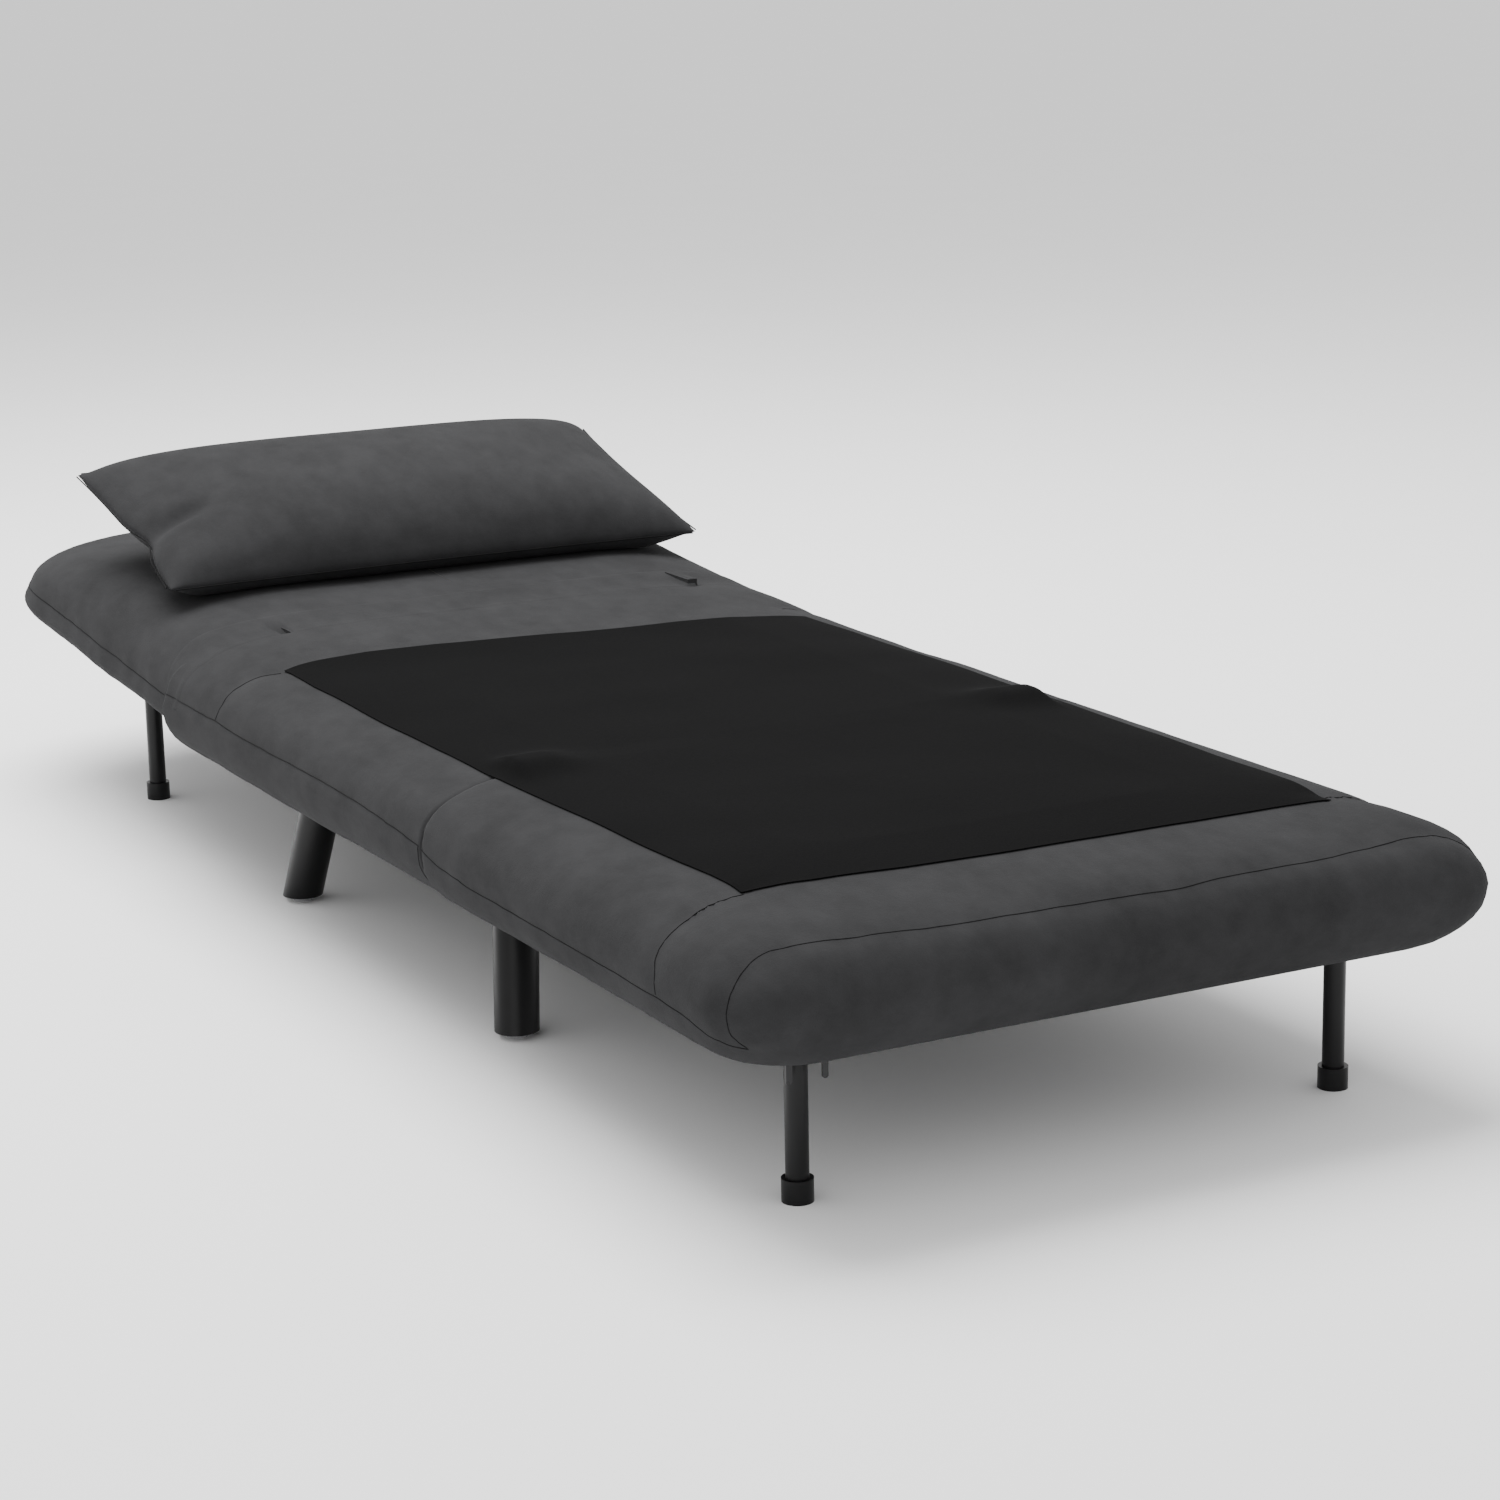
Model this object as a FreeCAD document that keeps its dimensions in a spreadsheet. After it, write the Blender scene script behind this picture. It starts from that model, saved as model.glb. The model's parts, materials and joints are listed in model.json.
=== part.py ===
import FreeCAD, Part
import math
import os
import re

# Convertible chair bed, shown flat as a bed. X is the width, Y runs from the foot end to the head end
# and Z is up.
# The origin is on the floor under the middle of the bed. All sizes are in millimetres.

SIZES = [
    # Overall form
    ("panel_width", 734, "width of the seat and front panels at their fullest"),
    ("front_length", 593, "front panel, foot end to the crease"),
    ("seat_length", 691, "seat panel, crease to crease"),
    ("back_reach", 666, "back panel, crease to head end, measured level"),
    ("underside_height", 134, "floor to the underside of the seat panel"),
    ("seat_thickness", 115, "underside of the seat panel to the top of its crown"),
    ("seat_seam", 48, "underside of the seat panel to its side seam"),
    ("front_seam", 23, "underside of the front panel to its side seam"),
    ("back_thickness", 112, "underside of the back panel to its crown at the crease"),
    ("back_seam", 21, "underside of the back panel to its side seam"),
    ("back_lift", 17.5, "how much higher the underside of the back panel starts than that of the seat panel"),
    ("back_tilt", 4.35, "slope of the back panel's underside in degrees"),
    ("back_step", 11, "how much narrower the back panel is on each side"),
    ("panel_gap", 1, "gap between neighbouring panels"),
    ("skin_gap", 0.3, "clearance between a soft piece and what it lies on"),
    ("cloth_thickness", 1.2, "black deck cloth and zip tape"),
    ("cloth_half_width", 288, "middle of the bed to the edge of the deck cloth"),
    ("cloth_front_margin", 166, "foot end to the front edge of the deck cloth"),
    ("cloth_rear_margin", 156, "rear crease to the rear edge of the deck cloth"),
    ("cloth_crease_margin", 14, "front crease to where each half of the deck cloth begins"),
    # Frames
    ("tube_side", 25, "square frame tube"),
    ("tube_wall", 1.5, "wall of the square frame tube"),
    ("seat_tube_reach", 256, "middle of the bed to the centre of a seat side tube"),
    ("front_tube_reach", 260, "middle of the bed to the centre of a front side tube"),
    ("back_tube_reach", 251, "middle of the bed to the centre of a back side tube"),
    ("frame_margin", 26, "crease to the near face of the frame's end tube"),
    ("front_frame_margin", 70, "foot end to the front panel's end tube"),
    ("front_frame_drop", 38, "underside of the front panel to its frame"),
    ("back_frame_margin", 18, "rear crease to the back panel's frame"),
    ("back_frame_length", 567, "length of the back panel's frame"),
    ("pocket_gap", 0.5, "clearance round a frame in its foam"),
    ("slat_width", 50, "sprung slat across its grain"),
    ("slat_thickness", 8, "sprung slat"),
    ("slat_bow", 7, "rise of a seat slat in its middle"),
    ("slat_pitch", 88, "spacing of the slats"),
    ("slat_gap", 0.3, "clearance of a slat end in its holder"),
    ("holder_wall", 3, "wall of a slat holder"),
    ("holder_depth", 15, "length of a holder on the inner face of a tube"),
    # Thick legs
    ("thick_leg_radius", 21.25, "thick leg at its top"),
    ("thick_foot_radius", 20.5, "thick leg at its foot"),
    ("thick_splay_out", 19, "how far a thick leg splays to the side"),
    ("thick_splay_along", 35, "how far a thick leg splays lengthwise"),
    ("front_thick_inset", 39, "front crease to the top centre of a front thick leg"),
    ("rear_thick_inset", 194, "rear crease to the top centre of a rear thick leg"),
    ("glide_height", 6, "nail glide under a thick leg"),
    ("glide_radius", 9.5, "nail glide"),
    ("leg_plate_thickness", 4, "mounting plate of a thick leg"),
    ("leg_plate_length", 50, "mounting plate along the bed"),
    ("leg_plate_width", 40, "mounting plate across the bed"),
    ("stud_radius", 4, "M8 stud of a thick leg"),
    ("stud_reach", 30, "how deep the stud goes into the leg"),
    # Thin legs
    ("thin_leg_radius", 9.5, "thin leg tube"),
    ("thin_leg_wall", 1.5, "wall of the thin leg tube"),
    ("thin_leg_reach", 260, "middle of the bed to a thin leg"),
    ("front_leg_margin", 104, "foot end to the centre of a front thin leg"),
    ("front_pivot_height", 24, "underside of the front panel to the pivot of its legs"),
    ("rear_leg_margin", 335, "rear crease to the pivot of the rear thin legs, along the back panel"),
    ("rear_pivot_drop", 14, "underside of the back panel to the pivot of the rear thin legs"),
    ("leg_top_reach", 5, "pivot to the top of a thin leg"),
    ("leg_pin_radius", 3, "pivot pin of a thin leg"),
    ("cap_radius", 13, "plastic cap of a thin leg"),
    ("cap_height", 19.5, "plastic cap of a thin leg"),
    ("cap_floor", 4, "thickness of the cap under the tube"),
    ("cross_tube_radius", 8, "tube between the rear thin legs"),
    ("cross_tube_drop", 28, "pivot to the tube between the rear thin legs"),
    ("bracket_plate", 3, "sheet of the leg brackets"),
    ("ear_gap", 0.5, "clearance between a leg tube and a bracket ear"),
    ("channel_half_width", 15, "half the width of the channel for the folded front legs"),
    ("running_gap", 0.05, "radial clearance of a pin in its hole"),
    # Click-clack hinge
    ("hinge_sheet", 4, "plate of the click-clack hinge"),
    ("hinge_gap", 1, "gap between the fixed plate and the arm"),
    ("hinge_offset", 58, "pivot to the end face of the back panel"),
    ("hinge_height", 69, "underside of the seat panel to the pivot"),
    ("hinge_pin_radius", 5, "pivot bolt"),
    ("sector_radius", 24, "notched rim of the fixed plate"),
    ("notch_radius", 3.2, "notch in the rim"),
    ("click_angle", 18, "angle between two positions of the back"),
    ("arm_half_height", 11, "half the height of the hinge arm"),
    ("arm_length", 122, "rear crease to the end of the hinge arm, along the back panel"),
    ("pawl_offset", 34, "main pivot to the pivot of a pawl"),
    ("pawl_angle", 40, "direction of the pawl's pivot in degrees above the bed"),
    ("pawl_tip_radius", 2.5, "tip of a pawl"),
    ("pawl_pin_radius", 2.5, "pin of a pawl"),
    ("pawl_boss_radius", 5, "round end of a pawl"),
    ("pawl_travel", 6, "swing of a pawl in degrees"),
    ("slot_gap", 1.5, "foam clearance on each side of the hinge plates"),
    # Flip hinge
    ("flip_clearance", 2, "crown of the seat to the axis of the flip hinge"),
    ("flip_reach", 255, "middle of the bed to the centre of a flip hinge"),
    ("flip_width", 30, "width of a flip hinge"),
    ("knuckle_radius", 4.5, "barrel of the flip hinge"),
    ("flip_pin_radius", 2.5, "pin of the flip hinge"),
    ("leaf_thickness", 3, "leaf of the flip hinge"),
    ("leaf_drop", 13, "axis of the flip hinge to the top of its level part"),
    # Zip
    ("zip_half_length", 285, "middle of the bed to the end of the zip"),
    ("tape_width", 12, "zip tape on each lip of the channel"),
    ("slider_length", 9, "zip slider along the zip"),
    ("slider_width", 7, "zip slider across the zip"),
    ("slider_height", 3, "zip slider"),
    ("pull_length", 23, "zip pull below its eye"),
    ("pull_width", 5.5, "zip pull"),
    ("pull_thickness", 1.4, "zip pull"),
    # Pillow
    ("pillow_length", 640, "pillow across the bed"),
    ("pillow_width", 319, "pillow along the bed"),
    ("pillow_fullness", 66, "seam of the pillow to its crown"),
    ("pillow_draw", 9, "how far the pillow's sides are drawn in between its corners"),
    ("pillow_margin", 252, "rear crease to the centre of the pillow"),
    ("pillow_height", 195, "underside of the seat panel to the centre of the pillow"),
    ("pillow_tilt", 15.6, "slope of the pillow in degrees"),
]

doc = FreeCAD.newDocument("ChairBed")
sheet = doc.addObject("Spreadsheet::Sheet", "Sizes")
for row, (alias, number, note) in enumerate(SIZES, start=1):
    sheet.set("A%d" % row, alias)
    sheet.set("B%d" % row, str(number))
    sheet.setAlias("B%d" % row, alias)
    sheet.set("C%d" % row, note)
doc.recompute()

NAMES = [alias for alias, number, note in SIZES]
SUB_PARTS = []
V = FreeCAD.Vector
AXIS_X = V(1, 0, 0)
AXIS_Y = V(0, 1, 0)


def size(alias):
    return float(sheet.get(alias))


def formula(text):
    """Name the sheet in front of every size that the text uses."""
    return re.sub(r"[a-z_]+",
                  lambda word: "Sizes." + word.group() if word.group() in NAMES else word.group(), text)


def bind(feature, **links):
    for name, text in links.items():
        feature.setExpression(name.replace("__", "."), formula(text))
    return feature


def keep(feature, label):
    """Mark a finished feature as a sub-part, which is written under its label."""
    feature.Label = label
    SUB_PARTS.append(feature)
    return feature


def block(name, lengths, corner):
    """A box whose three lengths and low corner follow formulas of the sheet."""
    feature = doc.addObject("Part::Box", name)
    bind(feature, Length=lengths[0], Width=lengths[1], Height=lengths[2])
    return bind(feature, Placement__Base__x=corner[0], Placement__Base__y=corner[1],
                Placement__Base__z=corner[2])


def rod(name, radius, height, foot):
    """An upright cylinder whose radius, height and foot follow formulas of the sheet."""
    feature = doc.addObject("Part::Cylinder", name)
    bind(feature, Radius=radius, Height=height)
    return bind(feature, Placement__Base__x=foot[0], Placement__Base__y=foot[1], Placement__Base__z=foot[2])


def cut(name, base, tool):
    feature = doc.addObject("Part::Cut", name)
    feature.Base = base
    feature.Tool = tool
    return feature


def together(name, features, kind="Part::MultiFuse"):
    feature = doc.addObject(kind, name)
    if kind == "Part::Compound":
        feature.Links = features
    else:
        feature.Shapes = features
    return feature


def group(label, features):
    """Like pieces that share one node, each a separate solid."""
    return keep(together(label, features, "Part::Compound"), label)


def solid(label, shape, placement=None):
    """A piece whose form is worked out from the sheet."""
    feature = doc.addObject("Part::Feature", label)
    feature.Shape = shape
    if placement is not None:
        feature.Placement = placement
    return keep(feature, label)


def square_tube(name, along, length, corner):
    """A hollow square frame tube along X or Y."""
    full = {"x": 0, "y": 1}[along]
    outer = ["tube_side"] * 3
    inner = ["tube_side - 2 * tube_wall"] * 3
    outer[full] = inner[full] = length
    shift = ["tube_wall"] * 3
    shift[full] = "0"
    hollow = ["%s + %s" % (place, move) for place, move in zip(corner, shift)]
    return cut(name, block(name + "_outside", outer, corner), block(name + "_inside", inner, hollow))


# Lines that several pieces share, as formulas and as numbers
FOOT_END = "(-(front_length + seat_length + back_reach) / 2)"
FRONT_CREASE = "((front_length - seat_length - back_reach) / 2)"
REAR_CREASE = "((front_length + seat_length - back_reach) / 2)"
front_crease = (size("front_length") - size("seat_length") - size("back_reach")) / 2
rear_crease = front_crease + size("seat_length")
foot_end = front_crease - size("front_length")
underside = size("underside_height")
half_width = size("panel_width") / 2
crown = underside + size("seat_thickness")
half_gap = size("panel_gap") / 2
tube = size("tube_side")
flip_axis = V(0, front_crease, crown + size("flip_clearance"))
back_axis = V(0, rear_crease - size("hinge_offset"), underside + size("hinge_height"))
tilt = size("back_tilt")
back_base = V(0, rear_crease, underside + size("back_lift"))
back_frame = FreeCAD.Placement(back_base, FreeCAD.Rotation(AXIS_X, tilt))
SIDES = (("left", -1), ("right", 1))


# Shapes for the soft forms
def outline(half, low, high, radius_low, radius_high, height, draw=0.0):
    """A closed level outline with rounded corners and, where draw isn't zero, sides drawn in by an arc."""
    diagonal = 1 - math.sqrt(0.5)
    a, b = radius_low, radius_high
    corners = [
        (V(-half, low + a), V(-half + a * diagonal, low + a * diagonal), V(-half + a, low)),
        (V(half - a, low), V(half - a * diagonal, low + a * diagonal), V(half, low + a)),
        (V(half, high - b), V(half - b * diagonal, high - b * diagonal), V(half - b, high)),
        (V(-half + b, high), V(-half + b * diagonal, high - b * diagonal), V(-half, high - b)),
    ]
    centre = V(0, (low + high) / 2)
    edges = []
    for number, corner in enumerate(corners):
        edges.append(Part.Arc(*corner).toShape())
        start, end = corner[2], corners[(number + 1) % 4][0]
        if draw:
            middle = (start + end) * 0.5
            inward = (centre - middle)
            inward.normalize()
            edges.append(Part.Arc(start, middle + inward * draw, end).toShape())
        else:
            edges.append(Part.LineSegment(start, end).toShape())
    wire = Part.Wire(edges)
    wire.translate(V(0, 0, height))
    return wire


def loft(wires):
    return Part.makeLoft(wires, True, True)


def eased(steps, share):
    """Read a profile of (share of the height, inset) pairs at one share, along straight lines."""
    for (low, first), (high, second) in zip(steps, steps[1:]):
        if share <= high:
            return first + (second - first) * (share - low) / (high - low)
    return steps[-1][1]


def span(x_low, x_high, y_low, y_high, z_low, z_high):
    return Part.makeBox(x_high - x_low, y_high - y_low, z_high - z_low, V(x_low, y_low, z_low))


def both_sides(near, far, y_low, y_high, z_low, z_high):
    """A pair of like boxes left and right of the middle, from near to far along X."""
    right = span(near, far, y_low, y_high, z_low, z_high)
    left = span(-far, -near, y_low, y_high, z_low, z_high)
    return [left, right]


# Insets of the side, at shares of the height from the widest line up to the crown and down to the underside
UPPER_SIDE = [(0, 0), (0.2, 3), (0.42, 10), (0.6, 22), (0.74, 40), (0.82, 54), (0.885, 72), (0.95, 105),
              (1, 170)]
LOWER_SIDE = [(0, 0), (0.3, 2), (0.55, 8), (0.8, 20), (0.95, 33), (1, 42)]
UPPER_END = [(0, 0), (0.2, 2), (0.42, 10), (0.6, 22), (0.74, 42), (0.82, 76), (0.885, 118), (0.95, 165),
             (1, 215)]
CREASE_EDGE = [(0, 0), (0.6, 0.5), (0.74, 2), (0.82, 4), (0.885, 7), (0.95, 11), (1, 16)]
WIDEST = 0.46


def panel_section(level, low_end, high_end, low_profile, high_profile, radii):
    """The level outline of a panel at one height, between its two ends."""
    widest = underside + WIDEST * size("seat_thickness")
    if level >= widest:
        share = (level - widest) / (crown - widest)
        side = eased(UPPER_SIDE, share)
        low = eased(low_profile, share)
        high = eased(high_profile, share) if isinstance(high_profile, list) else high_profile(level)
    else:
        share = (widest - level) / (widest - underside)
        side = eased(LOWER_SIDE, share)
        low = side if low_profile is UPPER_END else 0.25 * side
        high = 0.25 * side
    return outline(half_width - side, low_end + low, high_end - high, radii[0], radii[1], level)


def levels(low, high):
    """The heights of a panel's outlines: both levels and the shares of the profiles between them."""
    widest = underside + WIDEST * size("seat_thickness")
    shares = [share for share, inset in UPPER_SIDE]
    heights = [widest + share * (crown - widest) for share in shares]
    heights += [widest - share * (widest - underside) for share, inset in LOWER_SIDE]
    inside = [height for height in heights if low + 1.5 < height < high - 1.5]
    return [low] + sorted(set(inside)) + [high]


def rear_seat_profile(level):
    """How far the rear edge of the seat stands back, so that the end of the back panel can roll over it."""
    radius = size("hinge_offset") - size("panel_gap")
    rise = max(level - back_axis.z, 0)
    return rear_crease - half_gap - (back_axis.y + math.sqrt(max(radius ** 2 - rise ** 2, 1)))


def seat_form(low, high):
    radii = (16, 16)
    ends = (front_crease + half_gap, rear_crease - half_gap)
    return loft([panel_section(z, *ends, CREASE_EDGE, rear_seat_profile, radii) for z in levels(low, high)])


def front_form(low, high):
    radii = (58, 16)
    ends = (foot_end, front_crease - half_gap)
    return loft([panel_section(z, *ends, UPPER_END, CREASE_EDGE, radii) for z in levels(low, high)])


# Seat panel: the frame
frame_bottom = "underside_height + leg_plate_thickness"
frame_top = underside + size("leg_plate_thickness") + tube
for name, sign in SIDES:
    corner = ("%d * seat_tube_reach - tube_side / 2" % sign, FRONT_CREASE + " + frame_margin", frame_bottom)
    keep(square_tube("seat_tube_" + name, "y", "seat_length - 2 * frame_margin", corner),
         "seat_side_tube_" + name)

cross_places = {
    "front": FRONT_CREASE + " + frame_margin",
    "middle": REAR_CREASE + " - rear_thick_inset - tube_side / 2",
    "rear": REAR_CREASE + " - frame_margin - tube_side",
}
cross_length = "2 * seat_tube_reach - tube_side"
cross_tubes = []
for name, place in cross_places.items():
    corner = ("-seat_tube_reach + tube_side / 2", place, frame_bottom)
    cross_tubes.append(square_tube("seat_cross_" + name, "x", cross_length, corner))
group("seat_cross_tubes", cross_tubes)

# Seat panel: sprung slats in holders on top of the side tubes
SEAT_SLATS = 6
holder_wall = size("holder_wall")
slat_gap = size("slat_gap")
slat_half = size("slat_width") / 2
slat_thick = size("slat_thickness")
seat_inner = size("seat_tube_reach") - tube / 2
seat_outer = size("seat_tube_reach") + tube / 2
slat_level = frame_top + holder_wall
slat_end = seat_outer - 2 * holder_wall
first_slat = front_crease + size("frame_margin") + tube + size("slat_width") + 12


def bowed_slat(half_length, rise, y, z):
    """A slat across the bed that rises in its middle."""
    lower = Part.Arc(V(-half_length, 0, z), V(0, 0, z + rise), V(half_length, 0, z)).toShape()
    top = z + slat_thick
    upper = Part.Arc(V(half_length, 0, top), V(0, 0, top + rise), V(-half_length, 0, top)).toShape()
    right = Part.LineSegment(V(half_length, 0, z), V(half_length, 0, top)).toShape()
    left = Part.LineSegment(V(-half_length, 0, top), V(-half_length, 0, z)).toShape()
    face = Part.Face(Part.Wire([lower, right, upper, left]))
    face.translate(V(0, y - slat_half, 0))
    return face.extrude(V(0, 2 * slat_half, 0))


seat_slats = []
seat_holders = []
holder_rise = 2.2
for number in range(SEAT_SLATS):
    y = first_slat + number * size("slat_pitch")
    seat_slats.append(bowed_slat(slat_end, size("slat_bow"), y, slat_level))
    holder_half = slat_half + holder_wall
    top = slat_level + slat_thick + holder_rise + holder_wall
    outside = both_sides(seat_inner, seat_outer, y - holder_half, y + holder_half, frame_top, top)
    mouth_low = slat_level - slat_gap
    mouth_high = slat_level + slat_thick + holder_rise
    mouth_half = slat_half + slat_gap
    mouth = both_sides(seat_inner - 1, slat_end + slat_gap, y - mouth_half, y + mouth_half, mouth_low,
                       mouth_high)
    seat_holders += [outer.cut(inner) for outer, inner in zip(outside, mouth)]
solid("seat_slats", Part.Compound(seat_slats))
solid("seat_slat_holders", Part.Compound(seat_holders))

# Click-clack hinge: where its plates and the slots for them lie
plate_outer = seat_inner
plate_inner = plate_outer - size("hinge_sheet")
arm_outer = plate_inner - size("hinge_gap")
arm_inner = arm_outer - size("hinge_sheet")
slot_near = arm_inner - 6
slot_far = plate_outer + size("slot_gap")
pawl_reach = size("pawl_offset") + size("pawl_boss_radius")

# Flip hinge: where its leaves and the pockets for them lie
flip_near = size("flip_reach") - size("flip_width") / 2
flip_far = size("flip_reach") + size("flip_width") / 2
strap = size("leaf_thickness")
margin = size("frame_margin")
pocket_gap = size("pocket_gap")
seam = underside + size("seat_seam")

# Seat panel: upholstered border round the frame, cushion, deck cloth and dust cover
opening = span(-seat_outer - pocket_gap, seat_outer + pocket_gap, front_crease + margin - pocket_gap,
               rear_crease - margin + pocket_gap, underside - 1, seam + 1)
strap_slots = both_sides(flip_near - 2, flip_far + 2, front_crease + margin - strap - 1,
                         front_crease + margin, 144, seam + 1)
arm_notches = both_sides(slot_near, slot_far, rear_crease - margin, rear_crease + 1, seam - 12, seam + 1)
border = seat_form(underside, seam).cut([opening] + strap_slots + arm_notches)
strip_gap = size("skin_gap") / 2
front_end = front_crease + margin
rear_end = rear_crease - margin
low = underside - 1
high = seam + 1
solid("seat_border_front", border.common(span(-half_width, half_width, front_crease, front_end - strip_gap,
                                              low, high)))
solid("seat_border_rear", border.common(span(-half_width, half_width, rear_end + strip_gap, rear_crease, low,
                                             high)))
side_strips = both_sides(seat_outer, half_width, front_end + strip_gap, rear_end - strip_gap, low, high)
for (name, sign), room in zip(SIDES, side_strips):
    solid("seat_border_" + name, border.common(room))

seat_body = seat_form(seam, crown)
leaf_pockets = both_sides(flip_near - 2, flip_far + 2, front_crease, front_crease + margin, seam - 1,
                          crown + 5)
hinge_slots = both_sides(slot_near, slot_far, back_axis.y - pawl_reach - 2, rear_crease + 1, seam - 1,
                         crown + 5)
solid("seat_cushion", seat_body.cut(leaf_pockets + hinge_slots))


def deck_cloth(form, y_low, y_high):
    """The black cloth that lies on a cushion, as wide as its margins say."""
    upper = form.copy()
    upper.translate(V(0, 0, size("skin_gap") + size("cloth_thickness")))
    lower = form.copy()
    lower.translate(V(0, 0, size("skin_gap")))
    half = size("cloth_half_width")
    zone = span(-half, half, y_low, y_high, underside + 0.7 * size("seat_thickness"), crown + 10)
    return upper.common(zone).cut(lower)


crease_margin = size("cloth_crease_margin")
solid("seat_deck_cloth", deck_cloth(seat_body, front_crease + crease_margin,
                                    rear_crease - size("cloth_rear_margin")))

plate_long = size("leg_plate_length")
plate_wide = size("leg_plate_width")
plate_thick = size("leg_plate_thickness")
THICK_LEGS = [
    ("front_left", -1, front_crease + size("front_thick_inset"), -1),
    ("front_right", 1, front_crease + size("front_thick_inset"), -1),
    ("rear_left", -1, rear_crease - size("rear_thick_inset"), 1),
    ("rear_right", 1, rear_crease - size("rear_thick_inset"), 1),
]
cover_thick = size("cloth_thickness")
cover = span(-seat_outer, seat_outer, front_crease + margin, rear_crease - margin,
             underside + plate_thick - cover_thick, underside + plate_thick)
leg_plates = []
leg_studs = []
leg_glides = []
for name, side, y, along in THICK_LEGS:
    start = front_crease + margin if along < 0 else y - plate_long / 2
    x_high = side * seat_outer
    x_low = x_high - side * plate_wide
    stud_x = side * size("seat_tube_reach")
    plate = span(min(x_low, x_high), max(x_low, x_high), start, start + plate_long, underside,
                 underside + plate_thick)
    hole = Part.makeCylinder(size("stud_radius") + size("running_gap"), 3 * plate_thick,
                             V(stud_x, y, underside - plate_thick))
    leg_plates.append(plate.cut(hole))
    room = span(min(x_low, x_high) - pocket_gap, max(x_low, x_high) + pocket_gap, start - pocket_gap,
                start + plate_long + pocket_gap, underside, underside + plate_thick + 1)
    cover = cover.cut(room)
    stud_foot = V(stud_x, y, underside - size("stud_reach"))
    leg_studs.append(Part.makeCylinder(size("stud_radius"), size("stud_reach") + plate_thick, stud_foot))
    foot = V(side * (size("seat_tube_reach") + size("thick_splay_out")),
             y + along * size("thick_splay_along"),
             size("glide_height"))
    top_circle = Part.Wire(Part.makeCircle(size("thick_leg_radius"), V(stud_x, y, underside)))
    foot_circle = Part.Wire(Part.makeCircle(size("thick_foot_radius"), foot))
    leg = Part.makeLoft([foot_circle, top_circle], True, True)
    bore = Part.makeCylinder(size("stud_radius") + size("running_gap"), size("stud_reach") + 1, stud_foot)
    solid("thick_leg_" + name, leg.cut(bore))
    leg_glides.append(Part.makeCone(size("glide_radius"), size("glide_radius") - 1.5, size("glide_height"),
                                    V(foot.x, foot.y, 0)))
solid("leg_plates", Part.Compound(leg_plates))
solid("leg_studs", Part.Compound(leg_studs))
solid("leg_glides", Part.Compound(leg_glides))
solid("seat_dust_cover", cover)

# Front panel: padded base with the channel for the folded legs
front_seam = underside + size("front_seam")
front_frame_bottom = underside + size("front_frame_drop")
front_frame_top = front_frame_bottom + tube
front_inner = size("front_tube_reach") - tube / 2
front_outer = size("front_tube_reach") + tube / 2
frame_low = foot_end + size("front_frame_margin")
frame_high = front_crease - margin
pocket_x = front_outer + pocket_gap
leg_line = foot_end + size("front_leg_margin")
channel_half = size("channel_half_width")

front_base = front_form(underside, front_seam)
raised = span(-pocket_x + pocket_gap, pocket_x - pocket_gap, frame_low, frame_high, front_seam,
              front_frame_bottom)
channel = span(-pocket_x, pocket_x, leg_line - channel_half, leg_line + channel_half, underside - 1,
               front_frame_bottom + 1)
solid("front_base_pad", front_base.fuse(raised).cut(channel))

front_body = front_form(front_seam, crown)
pocket = span(-pocket_x, pocket_x, frame_low - pocket_gap, frame_high + pocket_gap, front_seam - 1,
              front_frame_top + 3)
leaf_pockets = both_sides(flip_near - 2, flip_far + 2, frame_high, front_crease, front_frame_bottom - 2,
                          crown + 5)
solid("front_cushion", front_body.cut([pocket] + leaf_pockets))
solid("front_deck_cloth", deck_cloth(front_body, foot_end + size("cloth_front_margin"),
                                     front_crease - crease_margin))

# Front panel: the frame
front_bottom = "underside_height + front_frame_drop"
front_run = "front_length - front_frame_margin - frame_margin"
for name, sign in SIDES:
    corner = ("%d * front_tube_reach - tube_side / 2" % sign, FOOT_END + " + front_frame_margin",
              front_bottom)
    keep(square_tube("front_tube_" + name, "y", front_run, corner), "front_side_tube_" + name)
front_cross_places = {
    "foot": FOOT_END + " + front_frame_margin",
    "crease": FRONT_CREASE + " - frame_margin - tube_side",
}
front_cross = []
for name, place in front_cross_places.items():
    corner = ("-front_tube_reach + tube_side / 2", place, front_bottom)
    front_cross.append(square_tube("front_cross_" + name, "x", "2 * front_tube_reach - tube_side", corner))
group("front_cross_tubes", front_cross)


def inner_slats(inner_face, middle, first, count):
    """Flat slats between two side tubes, in holders on the tubes' inner faces."""
    slats = []
    holders = []
    low = middle - slat_thick / 2
    end = inner_face - holder_wall
    for number in range(count):
        y = first + number * size("slat_pitch")
        slats.append(span(-end, end, y - slat_half, y + slat_half, low, low + slat_thick))
        half = slat_half + holder_wall
        outside = both_sides(inner_face - size("holder_depth"), inner_face, y - half, y + half,
                             low - holder_wall,
                             low + slat_thick + holder_wall)
        mouth_half = slat_half + slat_gap
        mouth = both_sides(inner_face - size("holder_depth") - 1, end + slat_gap, y - mouth_half,
                           y + mouth_half,
                           low - slat_gap, low + slat_thick + slat_gap)
        holders += [outer.cut(inner) for outer, inner in zip(outside, mouth)]
    return Part.Compound(slats), Part.Compound(holders)


front_slats, front_holders = inner_slats(front_inner, front_frame_bottom + tube / 2, frame_low + tube + 50, 5)
solid("front_slats", front_slats)
solid("front_slat_holders", front_holders)

# Flip hinge: a leaf on each frame, bent up to a barrel on the crease, and a pin
axis_z = flip_axis.z


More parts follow.
